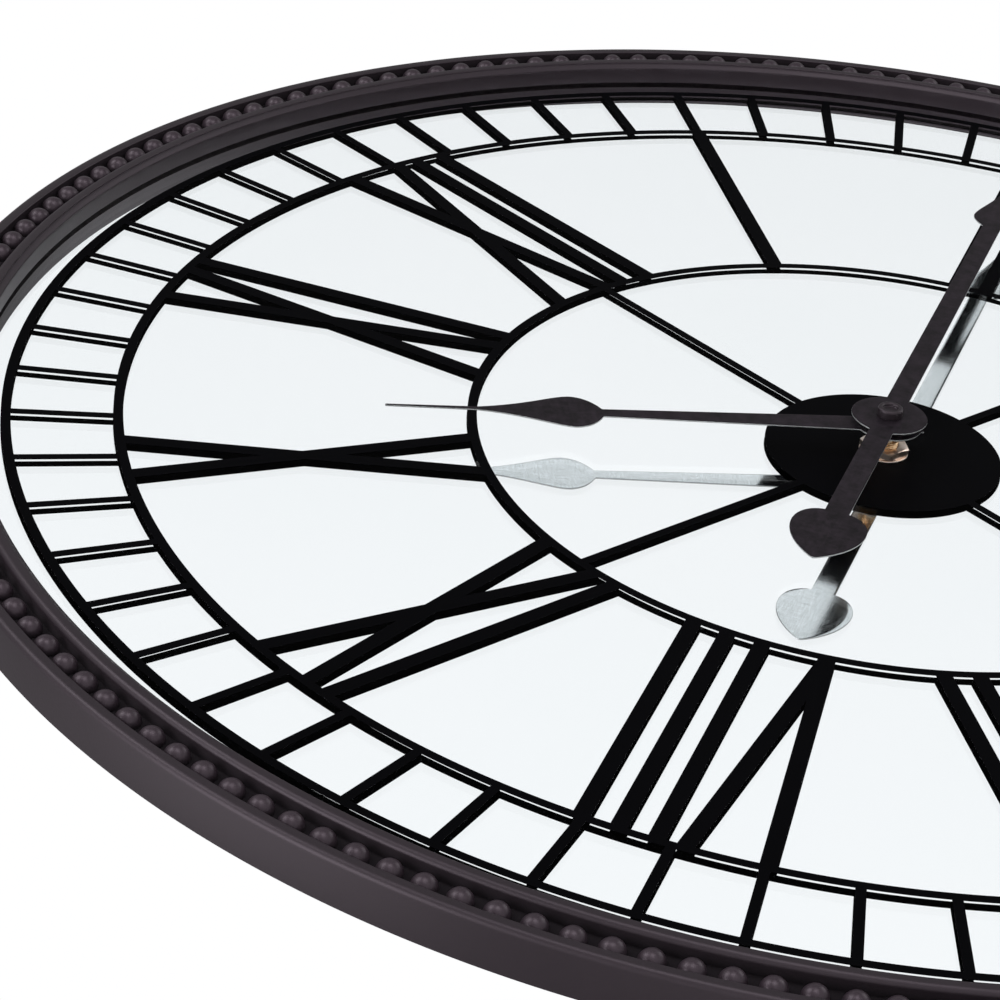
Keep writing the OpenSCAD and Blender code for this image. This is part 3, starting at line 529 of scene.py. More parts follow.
mirror_pane = make_piece("mirror_pane", *bored_disc(GLASS_BACK - PROUD, GLASS_FRONT + PROUD), "clock_case",
                         clear_glass, "mirror_glass")
silver_coat = make_piece("silver_coat", *bored_disc(GLASS_BACK - SILVER_T, GLASS_BACK), "clock_case",
                         silvering, "mirror_silvering")
print("glass", round(GLASS_FRONT - GLASS_BACK, 2), "mm thick, radius", round(GLASS_R, 1))

# %% [markdown]
# ## The dial print
# The dial is one screen print: a disc at the centre, four spokes, three rings, sixty minute marks
# and twelve Roman numerals whose strokes all run from the inner ring to the minute track. It
# could be an image, but an image blurs up close. Here every line is thin geometry. A stroke is a
# straight band, and its two ends are where its sides meet the two rings.

# %% Ink
def black_ink():
    """Screen ink: nearly black and matt, with a faint cloud in its depth."""
    f = Finish("black_ink")
    cloud = f.noise(60.0, 4.0)
    f.set(Base_Color=f.blend(cloud, rgb(1, 1, 2), rgb(3, 3, 5)), Roughness=cloud * 0.1 + 0.5, Specular_IOR_Level=0.02)
    return f.material


ink = black_ink()
print("made", ink.name)

# %% The strokes of the numerals
INK_T = 0.15
INK_SPREAD = 0.15
LINE_W = 3.2 + 2 * INK_SPREAD
STROKE_W = 5.7
TRACK_OUT_R = LIP_R - 12.1
TRACK_IN_R = TRACK_OUT_R - 39.3
INNER_RING_R = TRACK_IN_R - 126.3
DISC_R = 43.3
WORDS = ["XII", "I", "II", "III", "IIII", "V", "VI", "VII", "VIII", "IX", "X", "XI"]
X_HALF, V_HALF = 12.3, 13.0
HALF = dict(X=X_HALF, V=V_HALF, I=0.0)
LEGS = dict(I=[(0, 0)], V=[(0, -V_HALF), (0, V_HALF)], X=[(-X_HALF, X_HALF), (X_HALF, -X_HALF)])
I_PITCH = 12.2
LETTER_GAP = 9.0


def letter_places(word):
    """Letters stand side by side: two I's at a fixed pitch, others with a fixed gap, and the word is centred."""
    steps = [I_PITCH if a == b == "I" else HALF[a] + LETTER_GAP + HALF[b] for a, b in zip(word, word[1:])]
    at = np.concatenate([[0.0], np.cumsum(steps)])
    return at - (at[-1] + HALF[word[-1]] - HALF[word[0]]) / 2


def on_ring(point, along, radius):
    """Where the line point + t along crosses the circle: the larger root of t^2 + 2 t p.d + p.p = r^2."""
    d = along / np.linalg.norm(along)
    half = point @ d
    return point + d * (-half + math.sqrt(half * half - point @ point + radius * radius))


def numeral_strokes():
    """Four corners for each stroke of the twelve numerals, turned to their hours."""
    strokes = []
    for hour, word in enumerate(WORDS):
        for letter, middle in zip(word, letter_places(word)):
            for foot, head in LEGS[letter]:
                along = np.array([head - foot, TRACK_IN_R - INNER_RING_R])
                across = STROKE_W / 2 * math.sqrt(1 + (along[0] / along[1]) ** 2)
                corners = [on_ring(np.array([middle + foot + side, INNER_RING_R]), along, r)
                           for side, r in ((-across, INNER_RING_R), (across, INNER_RING_R),
                                           (across, TRACK_IN_R), (-across, TRACK_IN_R))]
                strokes.append(clock_turn([(x, y, 0) for x, y in corners], 30 * hour))
    return np.array(strokes)


print("the letters of VIII stand at", letter_places("VIII").round(1), "mm")
print("the dial has", len(numeral_strokes()), "strokes")

# %% Bars, blocks and bands of ink
LAYER = 0.002


def radial_bars(angles, inner, outer, width):
    """Four corners of a bar along each given hour angle."""
    bar = [(-width / 2, inner, 0), (width / 2, inner, 0), (width / 2, outer, 0), (-width / 2, outer, 0)]
    return np.array([clock_turn(bar, a) for a in angles])


def prisms(quads, layer):
    """Each flat quad becomes a thin block; every second one is a layer thicker, so crossed strokes share no plane."""
    bottom, top = quads.copy(), quads.copy()
    spare = LAYER * (layer + np.arange(len(quads))[:, None] % 2)
    bottom[..., 2], top[..., 2] = GLASS_FRONT - spare, GLASS_FRONT + INK_T + spare
    points = np.concatenate([bottom, top], axis=1)
    block = np.array([(3, 2, 1, 0), (4, 5, 6, 7), (0, 1, 5, 4), (1, 2, 6, 5), (2, 3, 7, 6), (3, 0, 4, 7)])
    faces = block[None] + np.arange(len(quads))[:, None, None] * points.shape[1]
    return points.reshape(-1, 3), faces.reshape(-1, 4)


def band(inner, outer, layer, turns=360):
    """A flat ring of ink, a few microns thicker for each layer."""
    low, high = GLASS_FRONT - LAYER * layer, GLASS_FRONT + INK_T + LAYER * layer
    return lathe([(inner, high), (inner, low), (outer, low), (outer, high)], turns)


print("one layer of ink is", LAYER * 1000, "microns")

# %% The whole print
QUARTERS, MINUTES = range(0, 360, 90), range(0, 360, 6)
print_parts = [band(HOLE_R, DISC_R, 1, 180)]
print_parts += [band(r - LINE_W / 2, r + LINE_W / 2, 2) for r in (INNER_RING_R, TRACK_IN_R, TRACK_OUT_R)]
print_parts += [prisms(numeral_strokes(), 3)]
print_parts += [prisms(radial_bars(QUARTERS, DISC_R - 1, INNER_RING_R, LINE_W), 5)]
print_parts += [prisms(radial_bars(MINUTES, TRACK_IN_R, TRACK_OUT_R, LINE_W), 7)]
dial_ink = make_piece("dial_ink", *joined(*print_parts), "clock_case", ink, "dial_print")
print("the print has", len(print_parts), "parts and", len(dial_ink.data.polygons), "faces")

# %% [markdown]
# ## Hands
# Each hand is stamped from thin sheet, lacquered on the front, and left bare on the sheared edge
# and the back. Its outline is one function: how wide the hand is at each distance from the
# arbor. The hub is a circle, the bar a taper, and the leaf and the spade are Bezier curves, and
# the hand is as wide as the widest of them. A cross-section with a tiny bevel, drawn at each
# station, gives one grid; its mirror image gives the other half.

# %% Metal and lacquer of the hands
def hand_lacquer():
    """Charcoal lacquer over sheet metal: a mottle along and across the hand, seen in tone and gloss."""
    f = Finish("hand_lacquer")
    mottle = f.woven(60.0, 700.0, 3.0)
    cloud = f.noise(260.0, 6.0, 0.75)
    tone = (mottle * 0.4 + cloud * 0.6).step(0.4, 0.6)
    f.set(Base_Color=f.blend(tone, rgb(15, 12, 15), rgb(38, 32, 38)), Roughness=mottle * 0.18 + cloud * 0.1 + 0.3,
          Normal=f.bump(mottle, 0.03 * MM, 0.5), Specular_IOR_Level=0.1)
    return f.material


def bare_metal(name, tone, rough, hatching):
    """Sheared or rolled aluminium: metallic, with fine crossing scratches in tone, gloss and tilt.

    The tone is the grey between the scratches, and hatching says how much darker the scratches are.
    """
    f = Finish(name)
    hatch = f.woven(140.0, 2400.0, 2.0)
    lines = hatch.step(0.36, 0.64)
    scratch = tone - hatching
    metal = f.blend(lines, rgb(scratch, scratch + 3, scratch + 4), rgb(tone, tone + 2, tone + 3))
    f.set(Base_Color=metal, Metallic=1.0, Roughness=lines * 0.12 + rough, Normal=f.bump(hatch, 0.02 * MM, 0.6))
    return f.material


lacquered = hand_lacquer()
cut_edge = bare_metal("cut_edge", 178, 0.42, 16)
underside = bare_metal("brushed_underside", 246, 0.08, 34)
print("made", ", ".join(made.name for made in (lacquered, cut_edge, underside)))

# %% The outline of a hand
def bezier(a, b, c, d, steps=24):
    """A cubic Bezier curve: (1-t)^3 a + 3(1-t)^2 t b + 3(1-t) t^2 c + t^3 d."""
    t = np.linspace(0, 1, steps)[:, None]
    a, b, c, d = (np.asarray(p, float) for p in (a, b, c, d))
    return (1 - t) ** 3 * a + 3 * (1 - t) ** 2 * t * b + 3 * (1 - t) * t ** 2 * c + t ** 3 * d


NECK_HALF = 1.0
TIP = 0.5


def leaf_side(start, bar_half, wide, rise, fall):
    """The leaf's side as (half width, distance): a quick swell to the widest place, then a long hollow point.

    It rises from the bar over the length rise, and falls to the neck over the length fall. The fractions
    are the handles of the curves, as shares of the leaf's width and of those lengths.
    """
    top = start + rise
    swell = bezier((bar_half, start), (wide * 0.5, start + rise * 0.14),
                   (wide * 0.97, start + rise * 0.47), (wide, top))
    point = bezier((wide, top), (wide, top + fall * 0.19),
                   (wide * 0.36, top + fall * 0.45), (NECK_HALF, top + fall), 40)
    return np.concatenate([swell, point[1:]])


def tail_side(length, wide, bar_half):
    """The spade on the short end: blunt at its tip, widest two thirds of the way in, then back to the bar."""
    blunt = 0.6
    widest, bar_end = 22 - length, 34 - length
    tip = bezier((blunt, -length), (wide * 0.55, 4.84 - length), (wide, 13 - length), (wide, widest))
    back = bezier((wide, widest), (wide, 28.5 - length), (wide * 0.72, 33.4 - length), (bar_half, bar_end))
    return np.concatenate([tip, back[1:], [(bar_half, 0)]])


def half_width(u, side, hub_r):
    """As wide as the wider of the outline and the hub's circle; the last half millimetre at each end is rounded."""
    outline = np.interp(u, side[:, 1], side[:, 0])
    hub = np.sqrt(np.clip(hub_r ** 2 - u ** 2, 0, None))
    w = np.maximum(outline, hub)
    near = np.clip(np.minimum(side[-1, 1] - u, u - side[0, 1] if side[0, 1] < -hub_r else np.inf) / TIP, 0, 1)
    return w * np.sqrt(np.clip(1 - (1 - near) ** 2, 0, 1))


def stations(side, hub_r, hole_r):
    """Distances from the arbor at which the hand is cut: close together round the hub, the hole and both ends."""
    low_u = side[0, 1] if side[0, 1] < -hub_r else -hub_r
    high_u = side[-1, 1]
    swing = np.linspace(-math.pi / 2, math.pi / 2, 25)
    ease = TIP * (1 - np.cos(np.linspace(0, math.pi / 2, 7)))
    u = np.concatenate([side[:, 1], hub_r * np.sin(swing), hole_r * np.sin(swing), np.linspace(low_u, high_u, 60),
                        high_u - ease, low_u + ease])
    return np.unique(np.round(u[(u >= low_u) & (u <= high_u)], 4))


print("a leaf is drawn with", len(leaf_side(start=0, bar_half=2, wide=10, rise=10, fall=30)), "points a side")

# %% The blade of a hand
HAND_BEVEL = 0.13


def hand_blade(side, hub_r, hole_r, z, degrees):
    """Rows of cross-sections from one end to the other, half of each, then mirrored and turned to the time shown."""
    u = stations(side, hub_r, hole_r)
    w = half_width(u, side, hub_r)
    inner = np.sqrt(np.clip(hole_r ** 2 - u ** 2, 0, None))
    bevel = np.minimum(HAND_BEVEL, 0.5 * w)
    flat = inner[:, None] + (w - bevel - inner).clip(0)[:, None] * np.linspace(0, 1, 7)
    phi = np.radians([30, 60, 90])
    round_x = (w - bevel)[:, None] + bevel[:, None] * np.sin(phi)
    round_z = bevel[:, None] * (1 - np.cos(phi))
    x = np.concatenate([flat, round_x, round_x[:, ::-1], flat[:, ::-1]], axis=1)
    top = np.concatenate([np.full_like(flat, HAND_T), HAND_T - round_z], axis=1)
    height = np.concatenate([top, HAND_T - top[:, ::-1]], axis=1)
    half = np.stack([x, np.broadcast_to(u[:, None], x.shape), height + z], axis=-1)
    rows, cols = x.shape
    quads = grid_faces(rows, cols)
    bored = np.flatnonzero((inner[:-1] > 0) | (inner[1:] > 0))
    wall = np.stack([bored * cols, (bored + 1) * cols, (bored + 1) * cols + cols - 1, bored * cols + cols - 1], -1)
    faces = np.concatenate([quads, wall])
    flipped = half * [-1, 1, 1]
    points = np.concatenate([half.reshape(-1, 3), flipped.reshape(-1, 3)])
    local = points[:, :2].copy()
    return clock_turn(points, degrees), np.concatenate([faces, faces[:, ::-1] + rows * cols]), local


FORWARD, BACKWARD = 0.3, -0.97


def dress_blade(blade):
    """Lacquer where a face looks forward, bare metal on the edges and the back."""
    mesh = blade.data
    for finish in (cut_edge, underside):
        mesh.materials.append(finish)
    facing = np.empty(len(mesh.polygons) * 3)
    mesh.polygons.foreach_get("normal", facing)
    forward = -facing.reshape(-1, 3)[:, 1]
    front, edge, back = 0, 1, 2
    finish_of = np.where(forward > FORWARD, front, np.where(forward < BACKWARD, back, edge))
    mesh.polygons.foreach_set("material_index", finish_of.astype("i"))


print("the sheet is", round(HAND_T, 2), "mm thick and its bevel", HAND_BEVEL, "mm")

# %% The two hands, at ten past ten
HOUR_TIP, MINUTE_TIP, TAIL = 183.0, 272.0, 113.0
HOUR_LEAF, MINUTE_LEAF = 78.3, 92.5
SHOWN_HOUR, SHOWN_MINUTE = 10, 10.0
MINUTE_TURN = 6 * SHOWN_MINUTE
HOUR_TURN = 30 * SHOWN_HOUR + MINUTE_TURN / 12
HOUR_HUB_R, MINUTE_HUB_R = 12.25, 13.8
PIPE_R, STUB_R = 3.05, 1.5
hour_leaf = leaf_side(start=HOUR_TIP - HOUR_LEAF, bar_half=2.6, wide=11.1, rise=10.8, fall=34.5)
minute_leaf = leaf_side(start=MINUTE_TIP - MINUTE_LEAF, bar_half=3.7, wide=9.0, rise=8.5, fall=37.0)
minute_tail = tail_side(length=TAIL, wide=13.2, bar_half=4.3)
hour_outline = np.concatenate([[(5.25, 0)], hour_leaf, [(TIP, HOUR_TIP)]])
minute_outline = np.concatenate([minute_tail, [(4.15, 0.1)], minute_leaf, [(TIP, MINUTE_TIP)]])


def make_hand(name, body, node, outline, hub_r, hole_r, z, degrees):
    """A blade on its arbor, lacquered, with the plan that its scratches follow."""
    points, faces, plan = hand_blade(outline, hub_r, hole_r, z, degrees)
    blade = make_piece(name, points, faces, body, lacquered, node, plan)
    dress_blade(blade)
    return blade


hour_blade = make_hand("hour_blade", "hour", "hour_hand", hour_outline, HOUR_HUB_R, PIPE_R, HOUR_HAND_Z, HOUR_TURN)
minute_blade = make_hand("minute_blade", "minute", "minute_hand", minute_outline, MINUTE_HUB_R, STUB_R,
                         MINUTE_HAND_Z, MINUTE_TURN)
print("hour blade", len(hour_blade.data.polygons), "faces; minute blade", len(minute_blade.data.polygons), "faces")

# %% [markdown]
# ## The hub
# What holds the hands shows in every close view: a washer and a hexagon nut clamp the movement's
# threaded neck to the glass, a small flanged collet is riveted under each hand, and a round cap
# nut closes the stack. All but two are lathe work. The hexagon is a lathe whose radius depends on
# the angle, and the neck is one whose radius follows a helix.

# %% Metals of the hub
def turned_metal(name, dark, light, rough, rings=4000.0):
    """Turned brass or nickel: fine rings round the axis and a slow drift of tarnish."""
    f = Finish(name)
    tarnish = f.noise(180.0, 4.0, 0.6)
    grain = f.noise(1.0, 2.0, 0.5, f.stretched(rings * 0.4, rings, rings * 0.4))
    f.set(Base_Color=f.blend(tarnish.step(0.3, 0.7), dark, light), Metallic=1.0,
          Roughness=tarnish * 0.12 + grain * 0.08 + rough, Normal=f.bump(grain, 0.004 * MM, 0.5))
    return f.material


nickel_brass = turned_metal("nickel_brass", rgb(232, 206, 186), rgb(252, 240, 230), 0.2)
brass = turned_metal("brass", rgb(204, 164, 122), rgb(236, 208, 168), 0.18)
cap_lacquer = charcoal_lacquer("cap_lacquer", 0.86)
print("made", ", ".join(made.name for made in (nickel_brass, brass, cap_lacquer)))

# %% A hexagon and a thread
def hexagon_nut(across_flats, height, bore_r, z, sides=6, turns=144):
    """Radius r(a) = apothem / soft-max of cos(a - side), so the corners are rounded; both faces are chamfered."""
    sharpness, least_drop, least_cut, bore_ease = 60, 0.12, 0.15, 0.35
    slope = math.tan(math.radians(28))
    apothem = across_flats / 2
    a = np.arange(turns) * TAU / turns
    to_side = np.cos(a[:, None] - np.arange(sides) * TAU / sides).clip(0)
    r = apothem / (to_side ** sharpness).sum(axis=1) ** (1 / sharpness)
    drop = ((r - apothem) * slope).clip(0) + least_drop
    flat_r = np.minimum(r - least_cut, apothem * 0.985)
    bore, bottom, top = bore_r + 0 * a, 0 * a, height + 0 * a
    rows = [(bore, bottom + bore_ease), (bore + bore_ease, bottom), (flat_r, bottom), (r, drop),
            (r, height - drop), (flat_r, top), (bore + bore_ease, top), (bore, top - bore_ease)]
    points = np.stack([np.stack([q * np.sin(a), q * np.cos(a), h + z], -1) for q, h in rows])
    return points.reshape(-1, 3), grid_faces(len(rows), turns, wrap_rows=True, wrap_cols=True)


def threaded_tube(outer_r, inner_r, low, high, pitch=0.75, depth=0.32, turns=72, per_turn=8):
    """r(a, z) = R - depth tri(z / pitch - a / turn): a triangle wave along the tube that climbs as it goes round."""
    run_out = 0.3
    z = np.linspace(low, high, int((high - low) / pitch * per_turn) + 1)[:, None]
    a = np.arange(turns)[None, :] * TAU / turns
    wave = np.abs(((z / pitch - a / TAU) % 1.0) * 2 - 1)
    fade = np.clip(np.minimum(z - low, high - z) / run_out, 0, 1)
    r = outer_r - depth * (wave * fade + (1 - fade))
    outer = np.stack([r * np.sin(a), r * np.cos(a), z + 0 * a], -1)
    inner = [np.stack([inner_r * np.sin(a[0]), inner_r * np.cos(a[0]), np.full(turns, h)], -1) for h in (high, low)]
    points = np.concatenate([outer, inner])
    return points.reshape(-1, 3), grid_faces(len(points), turns, wrap_rows=True, wrap_cols=True)


print("a thread 15 mm long makes", len(threaded_tube(5.0, 3.15, 0, 15)[0]), "points")

# %% What clamps the movement to the glass
WASHER_T, WASHER_R = 0.6, 9.0
NUT_T, NUT_AF = 3.0, 16.0
NECK_R, NECK_TOP = 5.0, 31.1
NECK_BORE = 3.15
CASE_INSIDE = 16.0
WASHER_Z = GLASS_FRONT + INK_T
washer_outline = rounded([(NECK_R, 0), (WASHER_R, 0), (WASHER_R, WASHER_T), (NECK_R, WASHER_T)],
                         [0.02, 0.15, 0.2, 0.02])
nut_washer = make_piece("nut_washer", *lathe(washer_outline, 144, WASHER_Z), "clock_case",
                        nickel_brass, "brass_washer")
hexagon = make_piece("hexagon_nut", *hexagon_nut(NUT_AF, NUT_T, NECK_R, WASHER_Z + WASHER_T), "clock_case",
                     nickel_brass, "fixing_nut")


def neck_flange():
    """The ring that the neck stands on inside the movement: six corners, the last two tucked under the thread."""
    flange_r, flange_t, tuck, rise = 6.5, 1.2, 0.4, 0.3
    low, high = CASE_INSIDE - flange_t, CASE_INSIDE
    return lathe([(NECK_BORE, high + rise), (NECK_BORE, low), (flange_r, low),
                  (flange_r, high), (NECK_R - tuck, high), (NECK_R - tuck, high + rise)])


tube = threaded_tube(NECK_R, NECK_BORE, CASE_INSIDE, NECK_TOP)
threaded_neck = make_piece("threaded_neck", *joined(tube, neck_flange()), "clock_case", brass, "threaded_bushing")
print("the nut measures", NUT_AF, "mm across its flats")

# %% What holds the hands
FLANGE_R, FLANGE_T, COLLET_WALL = 6.0, 0.8, 1.15
HOUR_COLLET_H = 4.5
SHOULDER_Z = 38.6


def collet_outline(bore, low, high):
    """A short tube with a thin flange at its top, the edges eased."""
    corners = [(bore, low), (bore + COLLET_WALL, low), (bore + COLLET_WALL, high - FLANGE_T),
               (FLANGE_R, high - FLANGE_T), (FLANGE_R, high), (bore, high)]
    return rounded(corners, [0.1, 0.2, 0.15, 0.15, 0.15, 0.05])


def cap_outline():
    """A round cap: straight wall, full round shoulder, and a hollow in the top, closed by a thin lacquered floor, a
    dark sheet of painted shade where the bore is open.
    """
    foot, height, hollow, sheet = MINUTE_HAND_Z + HAND_T, 3.45, 1.2, 0.25
    wall_r, shoulder_r, lip_r, hollow_r = 4.6, 1.0, 0.9, 2.6
    floor = height - hollow
    return np.concatenate([
        [(STUB_R, 0.0), (wall_r - sheet, 0.0), (wall_r, sheet)],
        arc(wall_r - shoulder_r, height - shoulder_r, shoulder_r, 0, 90, 9),
        arc(hollow_r + lip_r, height - lip_r, lip_r, 100, 180, 7),
        [(hollow_r, floor + sheet), (hollow_r - sheet, floor), (0, floor), (0, floor - sheet), (STUB_R, floor - sheet)],
    ]) + [0, foot]


hour_sleeve = make_piece("hour_sleeve", *lathe(collet_outline(PIPE_R, HOUR_HAND_Z - HOUR_COLLET_H, HOUR_HAND_Z)),
                         "hour", brass, "hour_collet")
minute_sleeve = make_piece("minute_sleeve", *lathe(collet_outline(STUB_R, SHOULDER_Z, MINUTE_HAND_Z)),
                           "minute", brass, "minute_collet")
cap_nut = make_piece("cap_nut", *lathe(cap_outline()), "minute", cap_lacquer, "hand_nut")
print("the stack ends", round(max(cap_outline()[:, 1]) - GLASS_FRONT, 2), "mm above the glass")

# %% [markdown]
# ## Everything behind the dial
# The back is pressed board, plated steel, rubber and moulded plastic, and inside the movement are
# wheels, a coil and a small circuit. These pieces already have their true shapes, so they only
# need finishes. Each is a few noises at the scale of the real grain: fibres, crystals of zinc,
# the sparks' marks on a mould, turns of wire.

# %% Finishes for the back
def hardboard():
    """Pressed wood fibre: short tangled fibres in tone and tilt, darker flecks, and broad patches from the press."""
    f = Finish("hardboard")
    lying = f.noise(1.0, 5.0, 0.7, f.stretched(900.0, 200.0, 260.0))
    standing = f.noise(1.0, 5.0, 0.7, f.stretched(240.0, 200.0, 820.0))
    fibre = lying * 0.5 + standing * 0.5
    fleck = f.noise(1500.0, 2.0, 0.6).step(0.62, 0.72)
    patch = f.noise(9.0, 3.0)
    wood = f.blend(fibre.step(0.3, 0.7), rgb(96, 66, 42), rgb(146, 108, 74))
    f.set(Base_Color=f.blend(fleck * 0.6 + patch * 0.2, wood, rgb(70, 48, 32)), Roughness=fibre * 0.15 + 0.68,
          Normal=f.bump(fibre, 0.12 * MM, 0.8))
    return f.material


def plated_steel(name, dark, light, rough, scale=140.0):
    """Plated or rolled steel: crystal patches from a cell pattern, fine drawing lines, and a drift in gloss."""
    f = Finish(name)
    patch = f.node("ShaderNodeTexVoronoi", dict(feature="SMOOTH_F1"), {"Vector": f.place, "Scale": scale * 4})
    drawn = f.noise(1.0, 3.0, 0.6, f.stretched(300.0, 300.0, 5200.0))
    drift = f.noise(scale, 3.0)
    f.set(Base_Color=f.blend(patch * 0.5 + drift * 0.5, dark, light), Metallic=1.0,
          Roughness=drift * 0.16 + drawn * 0.08 + rough, Normal=f.bump(drawn, 0.008 * MM, 0.5))
    return f.material


def moulded(name, dark, light, rough, grain_scale=1700.0, depth=0.03 * MM):
    """Moulded plastic or rubber: the mould's spark-eroded grain tilts it, and its tone hardly moves."""
    f = Finish(name)
    grain = f.noise(grain_scale, 3.0, 0.7)
    cloud = f.noise(40.0, 3.0)
    f.set(Base_Color=f.blend(cloud * 0.7 + grain * 0.3, dark, light), Roughness=grain * 0.16 + rough,
          Normal=f.bump(grain, depth, 0.8), Specular_IOR_Level=0.35)
    return f.material


print("finishes for sheet metal, moulded plastic and pressed board")

# %% Finishes for the coil and the circuit
def wound_copper():
    """Enamelled wire: narrow bands round the coil, with painted highlight where a turn stands and painted shade in the
    groove between two.
    """
    f = Finish("wound_copper")
    turns = f.node("ShaderNodeTexWave", dict(bands_direction="X", wave_profile="SIN"),
                   {"Vector": f.place, "Scale": 900.0, "Distortion": 0.4, "Detail": 1.0}, "Fac")
    drift = f.noise(600.0, 3.0)
    # Painted shade and highlight: the wave of the turns sets the colour, dark in each groove and light on each crest.
    f.set(Base_Color=f.blend(turns * 0.7 + drift * 0.3, rgb(120, 50, 24), rgb(214, 124, 74)), Metallic=1.0,
          Roughness=drift * 0.15 + 0.22, Normal=f.bump(turns, 0.03 * MM, 0.8))
    return f.material


def circuit_resin():
    """Green solder resist over copper: the traces are the borders of a cell pattern, seen as lighter raised green."""
    f = Finish("circuit_resin")
    border = f.node("ShaderNodeTexVoronoi", dict(feature="DISTANCE_TO_EDGE", distance="EUCLIDEAN"),
                    {"Vector": f.stretched(420.0, 420.0, 420.0), "Scale": 1.0})
    between = border.step(0.06, 0.1)
    weave = f.noise(2600.0, 2.0)
    f.set(Base_Color=f.blend(between * 0.8 + weave * 0.2, rgb(44, 128, 78), rgb(14, 74, 44)),
          Roughness=weave * 0.12 + 0.3, Normal=f.bump(1.0 - between, 0.03 * MM, 0.6))
    return f.material


print("finishes for wire and board")

# %% The finish of every slot
FINISHES = dict(
    board=hardboard(),
    zinc_steel=plated_steel("zinc_steel", rgb(150, 152, 154), rgb(198, 200, 204), 0.26),
    bright_steel=plated_steel("bright_steel", rgb(186, 186, 188), rgb(222, 222, 224), 0.14, 220.0),
    core_steel=plated_steel("core_steel", rgb(116, 116, 118), rgb(160, 160, 162), 0.34, 300.0),
    rubber=moulded("rubber", rgb(24, 24, 25), rgb(36, 36, 37), 0.7, 2400.0),
    case_plastic=moulded("case_plastic", rgb(25, 25, 27), rgb(36, 36, 38), 0.46),
    train_plastic=moulded("train_plastic", rgb(212, 208, 192), rgb(232, 229, 216), 0.36, 2600.0, 0.01 * MM),
    epoxy=moulded("epoxy", rgb(16, 16, 17), rgb(26, 26, 28), 0.22, 900.0, 0.04 * MM),
    ferrite=moulded("ferrite", rgb(58, 58, 62), rgb(84, 84, 88), 0.4, 3200.0),
    copper=wound_copper(),
    circuit=circuit_resin(),
    brass=brass,
    nickel_brass=nickel_brass,
    hand_lacquer=cap_lacquer,
    frame_lacquer=frame_lacquer,
    clear_glass=clear_glass,
    silvering=silvering,
    black_print=ink,
)
print("finishes for", len(FINISHES), "slots")

# %% [markdown]
# ## The cell
# The movement runs on one AA cell. It is a turned shape too, but lying on its side: a drawn steel
# can in a shrunk sleeve. The sleeve's colours are bands along the axis, worked out from the
# distance along the cell, so no picture of a label is needed.

# %% The cell's sleeve
def sleeve_and_can(start, length):
    """Bands along X: black sleeve, then copper colour near the button end; bare steel past both ends of the sleeve."""
    f = Finish("cell_jacket")
    share = (f.node("ShaderNodeSeparateXYZ", {}, [f.place], "X") - start) / length
    bronze = share.step(0.695, 0.7)
    bare = share.step(0.972, 0.976) + (1.0 - share.step(0.004, 0.008))
    scuff = f.noise(240.0, 4.0, 0.6)
    sleeve = f.blend(bronze, rgb(22, 22, 24), rgb(168, 104, 58))
    worn = f.blend(scuff.step(0.55, 0.8) * 0.35, sleeve, rgb(90, 86, 84))
    f.set(Base_Color=f.blend(bare.clamp(), worn, rgb(190, 190, 192)), Metallic=(bare + bronze * 0.7).clamp(),
          Roughness=scuff * 0.2 + 0.26)
    return f.material


cell_low, cell_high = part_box("battery")
CELL_LEN = (cell_high.x - cell_low.x) / MM
CELL_R = (cell_high.z - cell_low.z) / 2 / MM
jacket = sleeve_and_can(cell_low.x, CELL_LEN * MM)
FINISHES["cell_jacket"] = jacket
print("made", jacket.name)

# %% The AA cell
def turned_along_x(outline, turns, start, centre_y, centre_z):
    """(distance along X, radius) carried round the X axis: y = r sin a, z = r cos a."""
    p = np.asarray(outline, float)
    a = np.arange(turns) * TAU / turns
    r = p[:, 1][:, None]
    points = np.stack([start + p[:, 0][:, None] + 0 * a, centre_y + r * np.sin(a), centre_z + r * np.cos(a)], -1)
    return points.reshape(-1, 3), grid_faces(len(p), turns, wrap_cols=True)


cell_y = ((cell_high.z + cell_low.z) / 2 - DIAL_Z) / MM
cell_z = -(cell_high.y + cell_low.y) / 2 / MM
can_end = CELL_LEN - 1.0
flat_end = [(0.3, 0.0), (0.3, 4.2), (0.0, 4.8), (0.0, CELL_R - 1.0), (0.12, CELL_R - 0.45), (0.5, CELL_R - 0.12)]
can_wall = [(1.0, CELL_R), (can_end - 1.2, CELL_R)]
shoulder = [(can_end - 0.5, CELL_R - 0.14), (can_end - 0.1, CELL_R - 0.6), (can_end, CELL_R - 1.2), (can_end, 4.6)]
button = [(can_end - 0.4, 4.4), (can_end - 0.4, 2.8), (CELL_LEN - 0.3, 2.72), (CELL_LEN - 0.06, 2.5),
          (CELL_LEN, 2.0), (CELL_LEN, 0.0)]
cell_outline = flat_end + can_wall + shoulder + button
aa_cell = make_piece("aa_cell", *turned_along_x(cell_outline, 72, cell_low.x / MM, cell_y, cell_z), "cell", jacket,
                     "battery")
print("cell", round(CELL_LEN, 1), "mm long,", round(CELL_R * 2, 1), "mm across")

# %% [markdown]
# ## Dressing the exact pieces
# The record names a slot for every piece, and each slot now has a finish, so one loop dresses them
# all. A real moulded or stamped edge is never quite sharp, and a soft edge catches light. The exact
# meshes are loose triangles, so a weld joins them first, and then the bevel can find the edges and
# rounds them by a few hundredths of a millimetre to half a millimetre.

# %% Give every exact piece its finish, and the listed ones soft edges
EASED = dict(movement_back=0.25, movement_front=0.25, setting_knob=0.15, hanger_plate=0.2, board_clips=0.15,
             clip_screws=0.08, hanger_screws=0.08, wall_bumpers=0.5, plate_screws=0.06, back_board=0.2,
             chip_cover=0.1, middle_plate=0.1)


